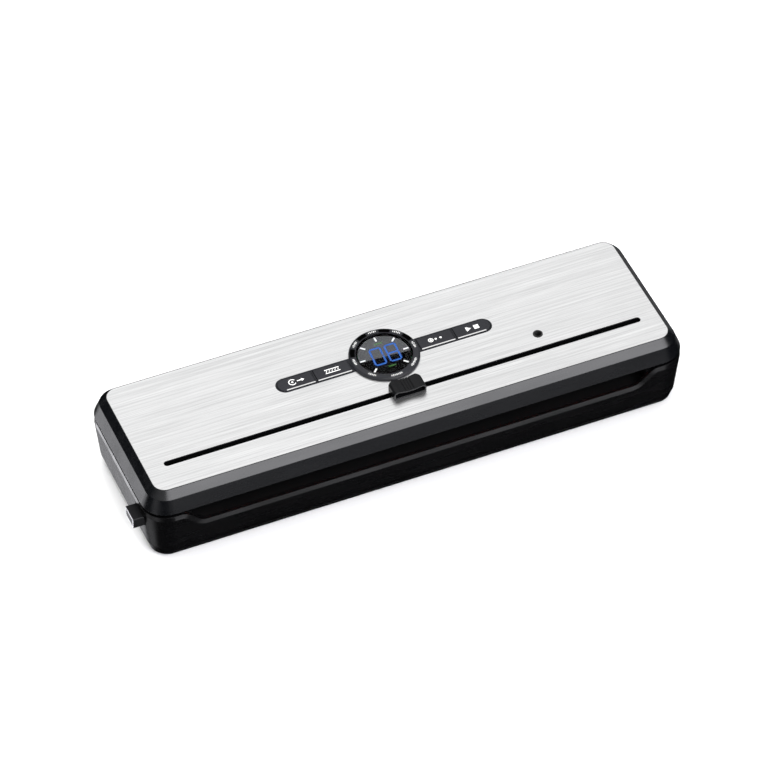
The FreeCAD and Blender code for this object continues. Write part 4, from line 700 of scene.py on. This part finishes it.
SOFTBOX_DIRECTION = (-0.2, 0.35, 1.0)
SOFTBOX_DISTANCE = 2.8
SOFTBOX_SIZE = (2.0, 2.0)
SOFTBOX_POWER = 70


def floor():
    """A pale floor under the feet."""
    bm = bmesh.new()
    bmesh.ops.create_grid(bm, x_segments=2, y_segments=2, size=FLOOR_SIZE)
    mesh = bpy.data.meshes.new("floor")
    bm.to_mesh(mesh)
    bm.free()
    s = Shader("studio_floor", (0.92, 0.92, 0.92), 0.8)
    tone = s.noise(3.0, detail=2.0)
    s.colour(s.mix(s.ramp(tone, 0.0, 1.0), FLOOR_DARK, FLOOR_PALE))
    mesh.materials.append(s.material)
    made = bpy.data.objects.new("floor", mesh)
    made.visible_glossy = False
    bpy.context.scene.collection.objects.link(made)


def softbox(name, direction, distance, size, power):
    """A rectangular light in a direction from the origin, facing it."""
    data = bpy.data.lights.new(name, "AREA")
    data.shape = "RECTANGLE"
    data.size, data.size_y = size
    data.energy = power
    light = bpy.data.objects.new(name, data)
    direction = Vector(direction).normalized()
    light.location = direction * distance
    light.rotation_euler = direction.to_track_quat("Z", "Y").to_euler()
    bpy.context.scene.collection.objects.link(light)
    return light


def glow(tree, direction, colour, inner, outer):
    """A soft round patch of light in the surroundings; inner and outer are half angles."""
    place = tree.nodes.new("ShaderNodeTexCoord")
    aim = tree.nodes.new("ShaderNodeVectorMath")
    aim.operation = "DOT_PRODUCT"
    aim.inputs[1].default_value = Vector(direction).normalized()
    tree.links.new(place.outputs["Generated"], aim.inputs[0])
    fade = tree.nodes.new("ShaderNodeMapRange")
    fade.interpolation_type = "SMOOTHSTEP"
    fade.inputs["From Min"].default_value = math.cos(math.radians(outer))
    fade.inputs["From Max"].default_value = math.cos(math.radians(inner))
    tree.links.new(aim.outputs["Value"], fade.inputs["Value"])
    tint = tree.nodes.new("ShaderNodeVectorMath")
    tint.operation = "SCALE"
    tint.inputs[0].default_value = colour
    tree.links.new(fade.outputs["Result"], tint.inputs["Scale"])
    return tint.outputs["Vector"]


def lights():
    """A pale dome that darkens below the horizon, reflector patches round it and a softbox."""
    world = bpy.data.worlds.new("studio")
    bpy.context.scene.world = world
    world.use_nodes = True
    tree = world.node_tree
    background = next(n for n in tree.nodes if n.type == "BACKGROUND")
    place = tree.nodes.new("ShaderNodeTexCoord")
    parts = tree.nodes.new("ShaderNodeSeparateXYZ")
    ramp = tree.nodes.new("ShaderNodeMapRange")
    ramp.interpolation_type = "SMOOTHSTEP"
    ramp.inputs["From Min"].default_value = HORIZON_START
    ramp.inputs["From Max"].default_value = HORIZON_END
    ramp.inputs["To Min"].default_value = DOME_LOW
    ramp.inputs["To Max"].default_value = DOME_HIGH
    tree.links.new(place.outputs["Generated"], parts.inputs["Vector"])
    tree.links.new(parts.outputs["Z"], ramp.inputs["Value"])
    total = ramp.outputs["Result"]
    for direction, level, inner, outer in REFLECTORS:
        add = tree.nodes.new("ShaderNodeVectorMath")
        add.operation = "ADD"
        colour = (level, level, level * PATCH_BLUE)
        tree.links.new(total, add.inputs[0])
        tree.links.new(glow(tree, direction, colour, inner, outer), add.inputs[1])
        total = add.outputs["Vector"]
    tree.links.new(total, background.inputs["Color"])
    background.inputs["Strength"].default_value = 1.0
    top = softbox("top_softbox", SOFTBOX_DIRECTION, SOFTBOX_DISTANCE, SOFTBOX_SIZE, SOFTBOX_POWER)
    top.visible_glossy = False


# The camera, fitted to the corners of the steel panel in the photo.
CAMERA_AZIMUTH, CAMERA_ELEVATION = math.radians(-23.128), math.radians(45.593)
CAMERA_DISTANCE, CAMERA_PAN, CAMERA_LIFT = 3.1328, -0.0032, -0.0133
CAMERA_LENS, CAMERA_SENSOR = 230.19, 36     # millimetres
CAMERA_FAR = 20


def camera():
    """A long lens from the front left, above, aimed at the middle of the panel's top."""
    sin_azimuth, cos_azimuth = math.sin(CAMERA_AZIMUTH), math.cos(CAMERA_AZIMUTH)
    level, height = math.cos(CAMERA_ELEVATION), math.sin(CAMERA_ELEVATION)
    back = Vector((sin_azimuth * level, -cos_azimuth * level, height))
    right = Vector((cos_azimuth, sin_azimuth, 0))
    up = back.cross(right)
    data = bpy.data.cameras.new("camera")
    data.sensor_width = CAMERA_SENSOR
    data.lens = CAMERA_LENS
    data.clip_end = CAMERA_FAR
    made = bpy.data.objects.new("camera", data)
    panel_low, panel_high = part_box("steel_panel")
    middle = (panel_low + panel_high) / 2
    aim = Vector((middle.x, middle.y, panel_high.z))
    made.location = back * CAMERA_DISTANCE + right * CAMERA_PAN + up * CAMERA_LIFT + aim
    made.rotation_euler = back.to_track_quat("Z", "Y").to_euler()
    bpy.context.scene.collection.objects.link(made)
    bpy.context.scene.camera = made


def picture_settings():
    """Plain colour, with no look and no change of exposure."""
    view = bpy.context.scene.view_settings
    view.view_transform = "Standard"
    view.look = "None"
    view.exposure = 0.0


dress_cad_nodes()
display_face()
display_digits()
display_marks()
ring_marks()
button_painted_glints()
button_icons()
latch_trim()
latch_spring()
floor()
lights()
camera()
picture_settings()
